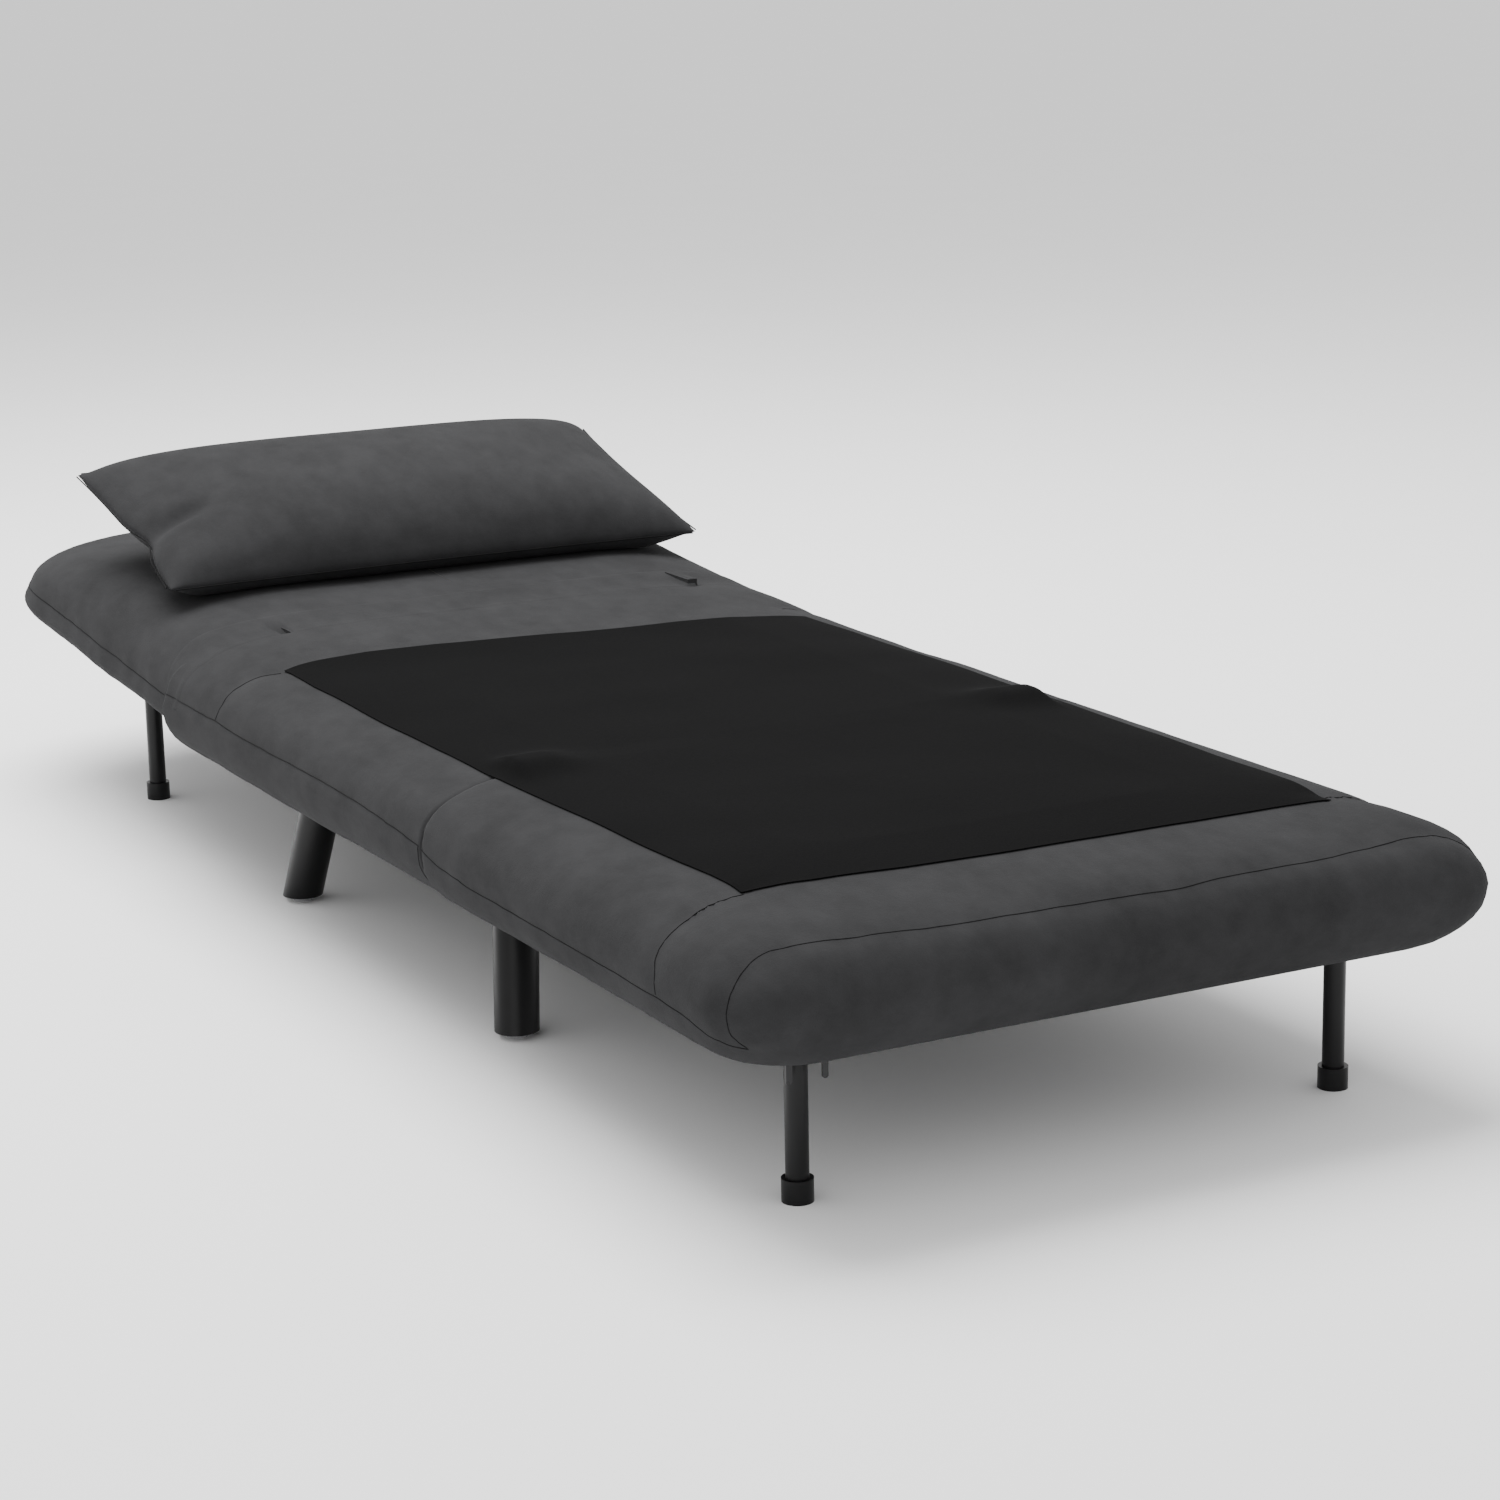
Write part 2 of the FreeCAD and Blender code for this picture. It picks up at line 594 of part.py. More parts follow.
def leaf(direction, low, knuckles, cutouts):
    """A strap up the end tube of a frame, a level part, and a neck to the barrel on the crease."""
    face = direction * margin
    inner = direction * (margin - strap)
    level = axis_z - size("leaf_drop")
    neck = direction * 3.0
    knee = direction * 11.0
    points = [(face, low), (face, level), (knee, level), (neck, axis_z), (0, axis_z),
              (direction * 1.5, axis_z - 3.5),
              (knee - direction * 1.5, level - strap), (inner, level - strap), (inner, low)]
    corners = [V(flip_near, front_crease + y, z) for y, z in points]
    sheet_face = Part.Face(Part.makePolygon(corners + corners[:1]))
    shape = sheet_face.extrude(V(flip_far - flip_near, 0, 0))
    for near, far in cutouts:
        gap_size = size("knuckle_radius") + 0.6
        shape = shape.cut(Part.makeCylinder(gap_size, far - near, V(near, front_crease, axis_z), AXIS_X))
    for near, far in knuckles:
        shape = shape.fuse(Part.makeCylinder(size("knuckle_radius"), far - near,
                                             V(near, front_crease, axis_z), AXIS_X))
    bore = size("flip_pin_radius") + size("running_gap")
    return shape.cut(Part.makeCylinder(bore, flip_far - flip_near + 2,
                                       V(flip_near - 1, front_crease, axis_z), AXIS_X))


def mirrored(shape):
    return shape.mirror(V(0, 0, 0), AXIS_X)


third = (flip_far - flip_near) / 3
middle_knuckle = (flip_near + third + 0.25, flip_far - third - 0.25)
outer_knuckles = [(flip_near, flip_near + third - 0.25), (flip_far - third + 0.25, flip_far)]
seat_leaf = leaf(1, underside + plate_thick + 8, outer_knuckles,
                 [(flip_near + third - 0.25, flip_far - third + 0.25)])
front_leaf = leaf(-1, front_frame_bottom, [middle_knuckle],
                  [(flip_near - 1, flip_near + third + 0.25), (flip_far - third - 0.25, flip_far + 1)])
flip_pin = Part.makeCylinder(size("flip_pin_radius"), flip_far - flip_near + 2,
                             V(flip_near - 1, front_crease, axis_z),
                             AXIS_X)
solid("flip_hinge_seat_leaves", Part.Compound([mirrored(seat_leaf), seat_leaf]))
solid("flip_hinge_front_leaves", Part.Compound([mirrored(front_leaf), front_leaf]))
solid("flip_hinge_pins", Part.Compound([mirrored(flip_pin), flip_pin]))

# Front thin legs: clevis brackets under the side tubes, pins, tubes and caps
leg_radius = size("thin_leg_radius")
leg_reach = size("thin_leg_reach")
front_pivot = underside + size("front_pivot_height")
sheet_thick = size("bracket_plate")
pin_radius = size("leg_pin_radius")
running = size("running_gap")
ear_near = leg_radius + size("ear_gap")
ear_far = ear_near + sheet_thick
ear_half = leg_radius + 0.5
brackets = []
leg_pins = []
for name, sign in SIDES:
    x = sign * leg_reach
    base = span(x - tube / 2, x + tube / 2, leg_line - ear_far, leg_line + ear_far, front_frame_bottom - 2.5,
                front_frame_bottom)
    clevis = base
    for y_low in (leg_line - ear_far, leg_line + ear_near):
        ear = span(x - ear_half, x + ear_half, y_low, y_low + sheet_thick, front_pivot - leg_radius,
                   front_frame_bottom - 2)
        clevis = clevis.fuse(ear)
    pin_foot = V(x, leg_line - ear_far - 1, front_pivot)
    clevis = clevis.cut(Part.makeCylinder(pin_radius + running, 2 * ear_far + 2, pin_foot, AXIS_Y))
    brackets.append(clevis)
    leg_pins.append(Part.makeCylinder(pin_radius, 2 * ear_far + 2, pin_foot, AXIS_Y))
solid("front_leg_brackets", Part.Compound(brackets))
solid("front_leg_pins", Part.Compound(leg_pins))

for name, sign in SIDES:
    foot = ("%d * thin_leg_reach" % sign, FOOT_END + " + front_leg_margin", "cap_floor")
    reach = "underside_height + front_pivot_height + leg_top_reach - cap_floor"
    outside = rod("front_leg_outside_" + name, "thin_leg_radius", reach, foot)
    inside = rod("front_leg_inside_" + name, "thin_leg_radius - thin_leg_wall", reach, foot)
    hollow = cut("front_leg_hollow_" + name, outside, inside)
    bore = doc.addObject("Part::Cylinder", "front_leg_bore_" + name)
    bind(bore, Radius="leg_pin_radius + running_gap", Height="4 * thin_leg_radius")
    bore.Placement = FreeCAD.Placement(V(), FreeCAD.Rotation(AXIS_X, -90))
    bind(bore, Placement__Base__x=foot[0], Placement__Base__y=foot[1] + " - 2 * thin_leg_radius",
         Placement__Base__z="underside_height + front_pivot_height")
    keep(cut("front_leg_tube_" + name, hollow, bore), "front_leg_" + name)
    cap_foot = (foot[0], foot[1], "0")
    cup = rod("front_cap_outside_" + name, "cap_radius", "cap_height", cap_foot)
    well = rod("front_cap_inside_" + name, "thin_leg_radius + running_gap", "cap_height", foot)
    keep(cut("front_cap_" + name, cup, well), "front_leg_cap_" + name)

# Zip along the channel: a tape on each lip, two sliders on the front one, and their pulls
tape_low = underside - size("cloth_thickness")
lip = channel_half - 1.2
zip_half = size("zip_half_length")
tape_width = size("tape_width")
front_tape = span(-zip_half, zip_half, leg_line - lip - tape_width, leg_line - lip, tape_low, underside)
rear_tape = span(-zip_half, zip_half, leg_line + lip, leg_line + lip + tape_width, tape_low, underside)
solid("zip_tapes", Part.Compound([front_tape, rear_tape]))

slider_half = size("slider_length") / 2
slider_high = tape_low - size("skin_gap")
slider_low = slider_high - size("slider_height")
slider_y = leg_line - lip - size("slider_width") / 2 - 0.8
eye_z = slider_low - 3
eye_radius = 1.1
for name, x in (("inner", -leg_reach + 16), ("outer", -leg_reach - 16)):
    shell = span(x - slider_half, x + slider_half, slider_y - size("slider_width") / 2,
                 slider_y + size("slider_width") / 2,
                 slider_low, slider_high)
    corners = [edge for edge in shell.Edges if abs(edge.tangentAt(edge.FirstParameter).z) > 0.9]
    shell = shell.makeFillet(2, corners)
    lug = span(x - 2.5, x + 2.5, slider_y - 0.7, slider_y + 0.7, eye_z - 2.4, slider_low + 0.5)
    hole = Part.makeCylinder(eye_radius + 0.2, 4, V(x, slider_y - 2, eye_z), AXIS_Y)
    solid("zip_slider_" + name, shell.fuse(lug).cut(hole))
    pull = Part.makeCylinder(eye_radius, 4.4, V(x, slider_y - 2.2, eye_z), AXIS_Y)
    for y_low in (slider_y - 2.2, slider_y + 1.1):
        pull = pull.fuse(span(x - 1.1, x + 1.1, y_low, y_low + 1.1, eye_z - 6, eye_z))
    pull = pull.fuse(span(x - 1.1, x + 1.1, slider_y - 2.2, slider_y + 2.2, eye_z - 6, eye_z - 4.4))
    half = size("pull_width") / 2
    thick = size("pull_thickness") / 2
    tongue = span(x - half, x + half, slider_y - thick, slider_y + thick, eye_z - size("pull_length"),
                  eye_z - 5)
    ends = [edge for edge in tongue.Edges if abs(edge.tangentAt(edge.FirstParameter).y) > 0.9]
    solid("zip_pull_" + name, pull.fuse(tongue.makeFillet(2, ends)))


# Click-clack hinge: profiles in the plane across the pivot
def strip(start, end, radius, x_low, x_high):
    """A flat link with round ends about two points, in the plane of the bed's side."""
    direction = V(0, end.y - start.y, end.z - start.z)
    length = direction.Length
    direction.normalize()
    across = V(0, -direction.z, direction.y) * radius
    a = V(x_low, start.y, start.z)
    b = V(x_low, end.y, end.z)
    back = direction * radius
    edges = [
        Part.LineSegment(a + across, b + across).toShape(),
        Part.Arc(b + across, b + back, b - across).toShape(),
        Part.LineSegment(b - across, a - across).toShape(),
        Part.Arc(a - across, a - back, a + across).toShape(),
    ]
    return Part.Face(Part.Wire(edges)).extrude(V(x_high - x_low, 0, 0))


def polar(centre, radius, degrees):
    angle = math.radians(degrees)
    return V(0, centre.y + radius * math.cos(angle), centre.z + radius * math.sin(angle))


def turned(point, centre, degrees):
    turn = FreeCAD.Rotation(AXIS_X, degrees)
    return centre + turn.multVec(point - centre)


CLICKS = 4
TIP_ANGLE = 12
tip_clear = size("sector_radius") + size("pawl_tip_radius") + 0.9
pawl_pivot = polar(back_axis, size("pawl_offset"), size("pawl_angle"))
tip_rest = polar(back_axis, tip_clear, TIP_ANGLE)
tip_engaged = turned(tip_rest, pawl_pivot, -size("pawl_travel"))

disc = Part.makeCylinder(size("sector_radius"), size("hinge_sheet"),
                         V(plate_inner, back_axis.y, back_axis.z), AXIS_X)
plate_foot = underside + plate_thick
neck_high = rear_crease - margin - tube - 1
neck_low = neck_high - 30
neck = span(plate_inner, plate_outer, neck_low, neck_high, plate_foot, back_axis.z)
fixed_plate = disc.fuse(neck)
for click in range(CLICKS + 1):
    centre = turned(tip_engaged, back_axis, click * size("click_angle"))
    fixed_plate = fixed_plate.cut(Part.makeCylinder(size("notch_radius"), size("hinge_sheet") + 2,
                                                    V(plate_inner - 1, centre.y, centre.z), AXIS_X))
pivot_foot = V(plate_inner - 1, back_axis.y, back_axis.z)
fixed_plate = fixed_plate.cut(Part.makeCylinder(size("hinge_pin_radius") + running, size("hinge_sheet") + 2,
                                                pivot_foot,
                                                AXIS_X))
solid("hinge_fixed_plates", Part.Compound([mirrored(fixed_plate), fixed_plate]))

bolt_head = 3
bolt = Part.makeCylinder(size("hinge_pin_radius"), plate_outer - arm_inner + 0.2,
                         V(arm_inner - 0.2, back_axis.y, back_axis.z), AXIS_X)
bolt = bolt.fuse(Part.makeCylinder(1.6 * size("hinge_pin_radius"), bolt_head,
                                   V(arm_inner - 0.2 - bolt_head, back_axis.y, back_axis.z), AXIS_X))
solid("hinge_pivot_bolts", Part.Compound([mirrored(bolt), bolt]))

# Back panel: points along it, as distance from the crease and height above its underside
back_seam = size("back_seam")
tube_middle = back_seam + tube / 2


def on_back(along, above):
    return back_frame.multVec(V(0, along, above))


arm_start = on_back(size("back_frame_margin") + 12, tube_middle)
arm_end = on_back(size("arm_length"), tube_middle)
arm_half = size("arm_half_height")
arm = strip(back_axis, arm_start, arm_half, arm_inner, arm_outer)
arm = arm.fuse(strip(arm_start, arm_end, arm_half, arm_inner, arm_outer))
arm = arm.fuse(strip(back_axis, pawl_pivot, 7, arm_inner, arm_outer))
arm = arm.cut(Part.makeCylinder(size("hinge_pin_radius") + running, 3 * size("hinge_sheet"),
                                V(arm_inner - 1, back_axis.y, back_axis.z), AXIS_X))
pawl_pin_foot = V(arm_inner, pawl_pivot.y, pawl_pivot.z)
arm = arm.cut(Part.makeCylinder(size("pawl_pin_radius") + running, size("hinge_sheet"), pawl_pin_foot,
                                AXIS_X))
solid("hinge_arms", Part.Compound([mirrored(arm), arm]))

pawl_pin = Part.makeCylinder(size("pawl_pin_radius"), plate_outer - arm_inner - 0.3, pawl_pin_foot, AXIS_X)
solid("pawl_pins", Part.Compound([mirrored(pawl_pin), pawl_pin]))
pawl_inner = plate_inner + 0.3
pawl_outer = plate_outer - 0.3
pawl = strip(pawl_pivot, tip_rest, size("pawl_tip_radius"), pawl_inner, pawl_outer)
pawl = pawl.fuse(Part.makeCylinder(size("pawl_boss_radius"), pawl_outer - pawl_inner,
                                   V(pawl_inner, pawl_pivot.y, pawl_pivot.z), AXIS_X))
pawl = pawl.cut(Part.makeCylinder(size("pawl_pin_radius") + running, size("hinge_sheet") + 2,
                                  V(pawl_inner - 1, pawl_pivot.y, pawl_pivot.z), AXIS_X))
solid("pawl_left", mirrored(pawl))
solid("pawl_right", pawl)

# Back panel: the frame, made level and then tilted with the panel
back_inner = size("back_tube_reach") - tube / 2
back_outer = size("back_tube_reach") + tube / 2
back_low = size("back_frame_margin")
back_high = back_low + size("back_frame_length")
wall = size("tube_wall")


def tilted_tube(x_low, x_high, y_low, y_high, along):
    """A square tube of the back frame; along is 0 for a cross tube and 1 for a side tube."""
    outside = span(x_low, x_high, y_low, y_high, back_seam, back_seam + tube)
    sides = (wall, 0)[along]
    ends = (0, wall)[along]
    inside = span(x_low + ends, x_high - ends, y_low + sides, y_high - sides, back_seam + wall,
                  back_seam + tube - wall)
    return outside.cut(inside)


solid("back_side_tube_left", tilted_tube(-back_outer, -back_inner, back_low, back_high, 1), back_frame)
solid("back_side_tube_right", tilted_tube(back_inner, back_outer, back_low, back_high, 1), back_frame)
cross_starts = (back_low + 120, back_high - tube)
back_cross = [tilted_tube(-back_inner, back_inner, y, y + tube, 0) for y in cross_starts]
solid("back_cross_tubes", Part.Compound(back_cross), back_frame)
back_slats, back_holders = inner_slats(back_inner, tube_middle, back_low + 120 + tube + 50, 4)
solid("back_slats", back_slats, back_frame)
solid("back_slat_holders", back_holders, back_frame)

# Back panel: padded base and cushion, which thins towards the head
BACK_PROFILE = [
    (0, 34, 34, 2), (0.04, 18, 18, 1), (0.1, 6, 6, 0), (0.2, 0, 0, 0), (0.31, 1, 4, 0), (0.43, 4, 16, 0),
    (0.56, 9, 42, 0), (0.67, 17, 86, 0), (0.77, 27, 150, 1), (0.86, 43, 230, 4), (0.92, 67, 312, 8),
    (0.97, 108, 395, 14), (1, 160, 465, 22),
]
back_half = half_width - size("back_step")
back_thick = size("back_thickness")
fullest = 0.2 * back_thick
slope = math.radians(tilt)
back_length = (size("back_reach") + fullest * math.sin(slope)) / math.cos(slope)


def back_section(share, side, head, crease):
    height = share * back_thick
    lean = height * math.tan(slope)
    corner = 200 if share < 0.9 else 155
    return outline(back_half - side, lean + crease + half_gap, back_length - head, 16, corner, height)


def profile_at(height):
    """The insets of the back panel's outline at one height above its underside."""
    share = height / back_thick
    columns = [[(row[0], row[column]) for row in BACK_PROFILE] for column in (1, 2, 3)]
    return [share] + [eased(column, share) for column in columns]


def back_form(low, high):
    inside = [row[0] * back_thick for row in BACK_PROFILE if low + 1.5 < row[0] * back_thick < high - 1.5]
    return loft([back_section(*profile_at(height)) for height in [low] + inside + [high]])


rear_leg_y = size("rear_leg_margin")
ear_x = leg_reach - leg_radius - 1 - sheet_thick
flange_room = both_sides(back_inner - 0.5, back_outer + 0.5, rear_leg_y - 18.5, rear_leg_y + 18.5,
                         back_seam - sheet_thick - 0.5, back_seam + 1)
ear_room = both_sides(ear_x - 0.5, ear_x + sheet_thick + 0.5, rear_leg_y - 12.5, rear_leg_y + 12.5, -1,
                      back_seam)
solid("back_base_pad", back_form(0, back_seam).cut(flange_room + ear_room), back_frame)

back_body = back_form(back_seam, back_thick)
pocket = span(-back_outer - pocket_gap, back_outer + pocket_gap, back_low - pocket_gap,
              back_high + pocket_gap,
              back_seam - 1, back_seam + tube + 2)
arm_slots = both_sides(arm_inner - 1.5, arm_outer + 0.7, -8, back_low + 45, back_seam - 1, back_seam + 43)
back_cushion = back_body.cut(pocket.fuse(arm_slots))
solid("back_cushion", back_cushion, back_frame)

# Rear thin legs: brackets with one ear, pins, tubes joined by a cross tube, caps
rear_pivot = on_back(rear_leg_y, -size("rear_pivot_drop"))
rear_brackets = []
rear_pins = []
rear_tubes = []
rear_caps = []
top = rear_pivot.z + size("leg_top_reach")
for name, sign in SIDES:
    x = sign * leg_reach
    flange = span(back_inner, back_outer, rear_leg_y - 18, rear_leg_y + 18, back_seam - sheet_thick,
                  back_seam)
    ear = span(ear_x, ear_x + sheet_thick, rear_leg_y - 12, rear_leg_y + 12, -size("rear_pivot_drop") - 10,
               back_seam - 1)
    bracket = flange.fuse(ear)
    bracket.Placement = back_frame
    pin_foot = V(ear_x - 2, rear_pivot.y, rear_pivot.z)
    reach = leg_reach + leg_radius + 1.5 - pin_foot.x
    bracket = bracket.cut(Part.makeCylinder(pin_radius + running, reach, pin_foot, AXIS_X))
    pin = Part.makeCylinder(pin_radius, reach, pin_foot, AXIS_X)
    if sign < 0:
        bracket = mirrored(bracket)
        pin = mirrored(pin)
    rear_brackets.append(bracket)
    rear_pins.append(pin)
    foot = V(x, rear_pivot.y, size("cap_floor"))
    leg = Part.makeCylinder(leg_radius, top - foot.z, foot)
    leg = leg.cut(Part.makeCylinder(leg_radius - size("thin_leg_wall"), top - foot.z, foot))
    across = V(x - 2 * leg_radius, rear_pivot.y, rear_pivot.z)
    rear_tubes.append(leg.cut(Part.makeCylinder(pin_radius + running, 4 * leg_radius, across, AXIS_X)))
    cup = Part.makeCylinder(size("cap_radius"), size("cap_height"), V(x, rear_pivot.y, 0))
    rear_caps.append(cup.cut(Part.makeCylinder(leg_radius + running, size("cap_height"), foot)))
solid("rear_leg_brackets", Part.Compound(rear_brackets))
solid("rear_leg_pins", Part.Compound(rear_pins))
solid("rear_leg_tubes", Part.Compound(rear_tubes))
solid("rear_leg_caps", Part.Compound(rear_caps))
cross_z = rear_pivot.z - size("cross_tube_drop")
cross_foot = V(-leg_reach, rear_pivot.y, cross_z)
cross = Part.makeCylinder(size("cross_tube_radius"), 2 * leg_reach, cross_foot, AXIS_X)
cross = cross.cut(Part.makeCylinder(size("cross_tube_radius") - size("thin_leg_wall"), 2 * leg_reach,
                                    cross_foot, AXIS_X))
for name, sign in SIDES:
    cross = cross.cut(Part.makeCylinder(leg_radius + running, top, V(sign * leg_reach, rear_pivot.y, 0)))
cross = max(cross.Solids, key=lambda piece: piece.Volume)
solid("rear_leg_cross_tube", cross)

# Pillow: knife edge with drawn-in sides, flattened underneath where it lies on the back panel
PILLOW_PROFILE = [
    (0, 0, 7), (0.14, 5, 13), (0.3, 12, 22), (0.46, 21, 32), (0.62, 34, 42), (0.76, 51, 48), (0.88, 74, 50),
    (0.96, 99, 46), (1, 128, 28),
]
pillow_half = size("pillow_length") / 2
pillow_side = size("pillow_width") / 2
fullness = size("pillow_fullness")


def pillow_section(share, inset, radius, side):
    draw = size("pillow_draw") * (1 - 0.6 * share)
    return outline(pillow_half - inset, -pillow_side + inset, pillow_side - inset, radius, radius,
                   side * share * fullness, draw)


lower_rows = [pillow_section(*row, -1) for row in reversed(PILLOW_PROFILE[1:])]
upper_rows = [pillow_section(*row, 1) for row in PILLOW_PROFILE]
pillow = loft(lower_rows + upper_rows)
pillow_centre = V(0, rear_crease + size("pillow_margin"), underside + size("pillow_height"))
pillow.Placement = FreeCAD.Placement(pillow_centre, FreeCAD.Rotation(AXIS_X, size("pillow_tilt")))
bed_surface = back_body.copy()
bed_surface.Placement = back_frame
bed_surface.translate(V(0, 0, size("skin_gap")))
solid("pillow", pillow.cut(bed_surface))

# Check the document and write each sub-part
doc.recompute()
for feature in doc.Objects:
    if "Invalid" in feature.State or "Error" in feature.State:
        raise RuntimeError("feature failed: " + feature.Name)
for feature in SUB_PARTS:
    if feature.Shape.isNull() or not feature.Shape.isValid() or not feature.Shape.Solids:
        raise RuntimeError("shape failed: " + feature.Label)
os.makedirs("parts", exist_ok=True)
for feature in SUB_PARTS:
    feature.Shape.exportStep("parts/" + feature.Label + ".step")
print(len(SUB_PARTS), "sub-parts")
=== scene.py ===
import json
import math

import bmesh
import bpy
import numpy as np
from bpy.props import FloatProperty, FloatVectorProperty, IntProperty, PointerProperty
from mathutils import Matrix, Vector, noise
from mathutils.bvhtree import BVHTree


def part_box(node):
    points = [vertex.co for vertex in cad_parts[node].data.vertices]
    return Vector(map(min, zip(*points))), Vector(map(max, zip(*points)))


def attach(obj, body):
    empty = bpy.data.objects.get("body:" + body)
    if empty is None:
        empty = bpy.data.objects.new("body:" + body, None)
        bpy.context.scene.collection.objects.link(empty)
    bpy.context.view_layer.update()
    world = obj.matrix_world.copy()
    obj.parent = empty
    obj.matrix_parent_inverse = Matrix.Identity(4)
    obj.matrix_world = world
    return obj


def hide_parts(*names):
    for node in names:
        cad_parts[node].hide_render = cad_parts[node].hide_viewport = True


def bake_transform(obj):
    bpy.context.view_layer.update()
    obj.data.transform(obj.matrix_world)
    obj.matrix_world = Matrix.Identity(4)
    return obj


bl_info = {
    "name": "Convertible chair bed",
    "version": (1, 0, 0),
    "blender": (4, 5, 0),
    "location": "3D View > Sidebar > Chair bed",
    "description": "Upholstery, cloth and finishes of a convertible chair bed laid flat",
    "category": "Object",
}

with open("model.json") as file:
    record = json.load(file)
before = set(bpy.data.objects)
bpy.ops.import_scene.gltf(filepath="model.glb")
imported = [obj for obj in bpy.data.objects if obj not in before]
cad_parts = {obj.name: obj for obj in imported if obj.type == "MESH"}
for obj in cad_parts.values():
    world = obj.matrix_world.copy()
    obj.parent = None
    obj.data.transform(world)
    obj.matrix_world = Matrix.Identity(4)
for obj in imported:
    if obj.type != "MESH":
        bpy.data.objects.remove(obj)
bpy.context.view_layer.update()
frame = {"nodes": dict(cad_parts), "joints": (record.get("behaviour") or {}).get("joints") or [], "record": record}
NODES = frame["nodes"]


def mm(value):
    return value * 0.001


# Levels and creases of the bed, in metres
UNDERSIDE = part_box("seat_border_left")[0].z
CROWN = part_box("seat_cushion")[1].z
FOOT_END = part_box("front_cushion")[0].y
HALF_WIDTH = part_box("seat_border_right")[1].x
FRONT_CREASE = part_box("flip_hinge_pins")[0].y + mm(2.5)
REAR_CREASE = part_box("seat_border_rear")[1].y + mm(0.5)
PIVOT = Vector(next(joint["pos_m"] for joint in frame["joints"] if joint["name"] == "back_recline"))
BACK_TILT = math.radians(4.35)
BACK_BASE = Vector((0, REAR_CREASE, UNDERSIDE + mm(17.5)))
BACK_THICKNESS = mm(112)
BACK_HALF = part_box("back_base_pad")[1].x
BACK_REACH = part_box("back_base_pad")[1].y - REAR_CREASE
HEAD_R = (200, 155)
WIDEST = UNDERSIDE + 0.46 * (CROWN - UNDERSIDE)
SEAT_SEAM = UNDERSIDE + mm(48)
# Share of the way to the middle line at which a cover's innermost ring stops. At 1 its faces have no area,
# and the cuts for the hinge arms empty the cover.
SHORT_OF_MIDDLE = 0.9995

# Insets of the covers in millimetres, at shares of the height from their widest line
SHOULDER = [(0, 0), (0.2, 3), (0.42, 10), (0.6, 22), (0.74, 40), (0.82, 54), (0.885, 72), (0.95, 105),
            (1, 170)]
FOOT_SHOULDER = [(0, 0), (0.2, 2), (0.42, 10), (0.6, 22), (0.74, 42), (0.82, 76), (0.885, 118), (0.95, 165),
                 (1, 215)]
CREASE_EDGE = [(0, 0), (0.6, 0.2), (0.8, 0.8), (0.9, 3), (0.96, 6), (1, 12)]
BELLY = [(0, 0), (0.3, 2), (0.55, 8), (0.8, 20), (0.95, 33), (1, 42)]
BACK_ROWS = [
    (0, 34, 34, 2), (0.04, 18, 18, 1), (0.1, 6, 6, 0), (0.2, 0, 0, 0), (0.31, 1, 4, 0), (0.43, 4, 16, 0),
    (0.56, 9, 42, 0), (0.67, 17, 86, 0), (0.77, 27, 150, 0), (0.86, 43, 230, 1), (0.92, 67, 312, 3),
    (0.97, 108, 395, 7), (1, 160, 465, 12),
]


# Numbers and meshes
def smooth_curve(pairs):
    """A monotone cubic through the pairs, for arrays."""
    x, y = np.array(pairs, float).T
    run = np.diff(x)
    slope = np.diff(y) / run
    bend = np.zeros(len(x))
    for k in range(1, len(x) - 1):
        if slope[k - 1] * slope[k] > 0:
            a = 2 * run[k] + run[k - 1]
            b = run[k] + 2 * run[k - 1]
            bend[k] = (a + b) / (a / slope[k - 1] + b / slope[k])
    bend[-1] = slope[-1]

    def value(at):
        at = np.clip(np.asarray(at, float), x[0], x[-1])
        k = np.clip(np.searchsorted(x, at, side="right") - 1, 0, len(run) - 1)
        t = (at - x[k]) / run[k]
        first = (1 + 2 * t) * (1 - t) ** 2 * y[k] + t * (1 - t) ** 2 * run[k] * bend[k]
        return first + t * t * (3 - 2 * t) * y[k + 1] + t * t * (t - 1) * run[k] * bend[k + 1]

    return value


def rounded(half, low, high, radius_low, radius_high, counts):
    """A level outline with rounded corners: an array of X and Y with as many points at any size."""
    arc, across, along = counts
    small = [min(radius, 0.98 * half, 0.49 * (high - low)) for radius in (radius_low, radius_high)]
    turn = np.linspace(0, math.pi / 2, arc + 1)[:-1]
    share_across = np.linspace(0, 1, across + 1)[:-1]
    share_along = np.linspace(0, 1, along + 1)[:-1]
    parts = []
    for side, radius, other, far in ((1, small[0], small[1], False), (-1, small[1], small[0], True)):
        edge = high if far else low
        inward = -1 if far else 1
        parts.append(np.c_[side * (-half + radius + share_across * 2 * (half - radius)),
                           np.full(across, edge)])
        parts.append(np.c_[side * (half - radius + radius * np.sin(turn)),
                           edge + inward * radius * (1 - np.cos(turn))])
        start = edge + inward * radius
        end = (low + other) if far else (high - other)
        parts.append(np.c_[np.full(along, side * half), start + share_along * (end - start)])
        edge = low if far else high
        parts.append(np.c_[side * (half - other + other * np.cos(turn)),
                           edge - inward * other * (1 - np.sin(turn))])
    return np.vstack(parts)


def shell(name, rings):
    """A closed mesh from level rings of points, bottom first, whose first and last rings close in a line."""
    count = len(rings[0])
    points = np.vstack(rings)
    faces = []
    for row in range(len(rings) - 1):
        for k in range(count):
            after = (k + 1) % count
            faces.append((row * count + k, row * count + after, (row + 1) * count + after,
                          (row + 1) * count + k))
    mesh = bpy.data.meshes.new(name)
    mesh.from_pydata(points.tolist(), [], faces)
    piece = bpy.data.objects.new(name, mesh)
    bpy.context.scene.collection.objects.link(piece)
    tidy(mesh)
    return piece


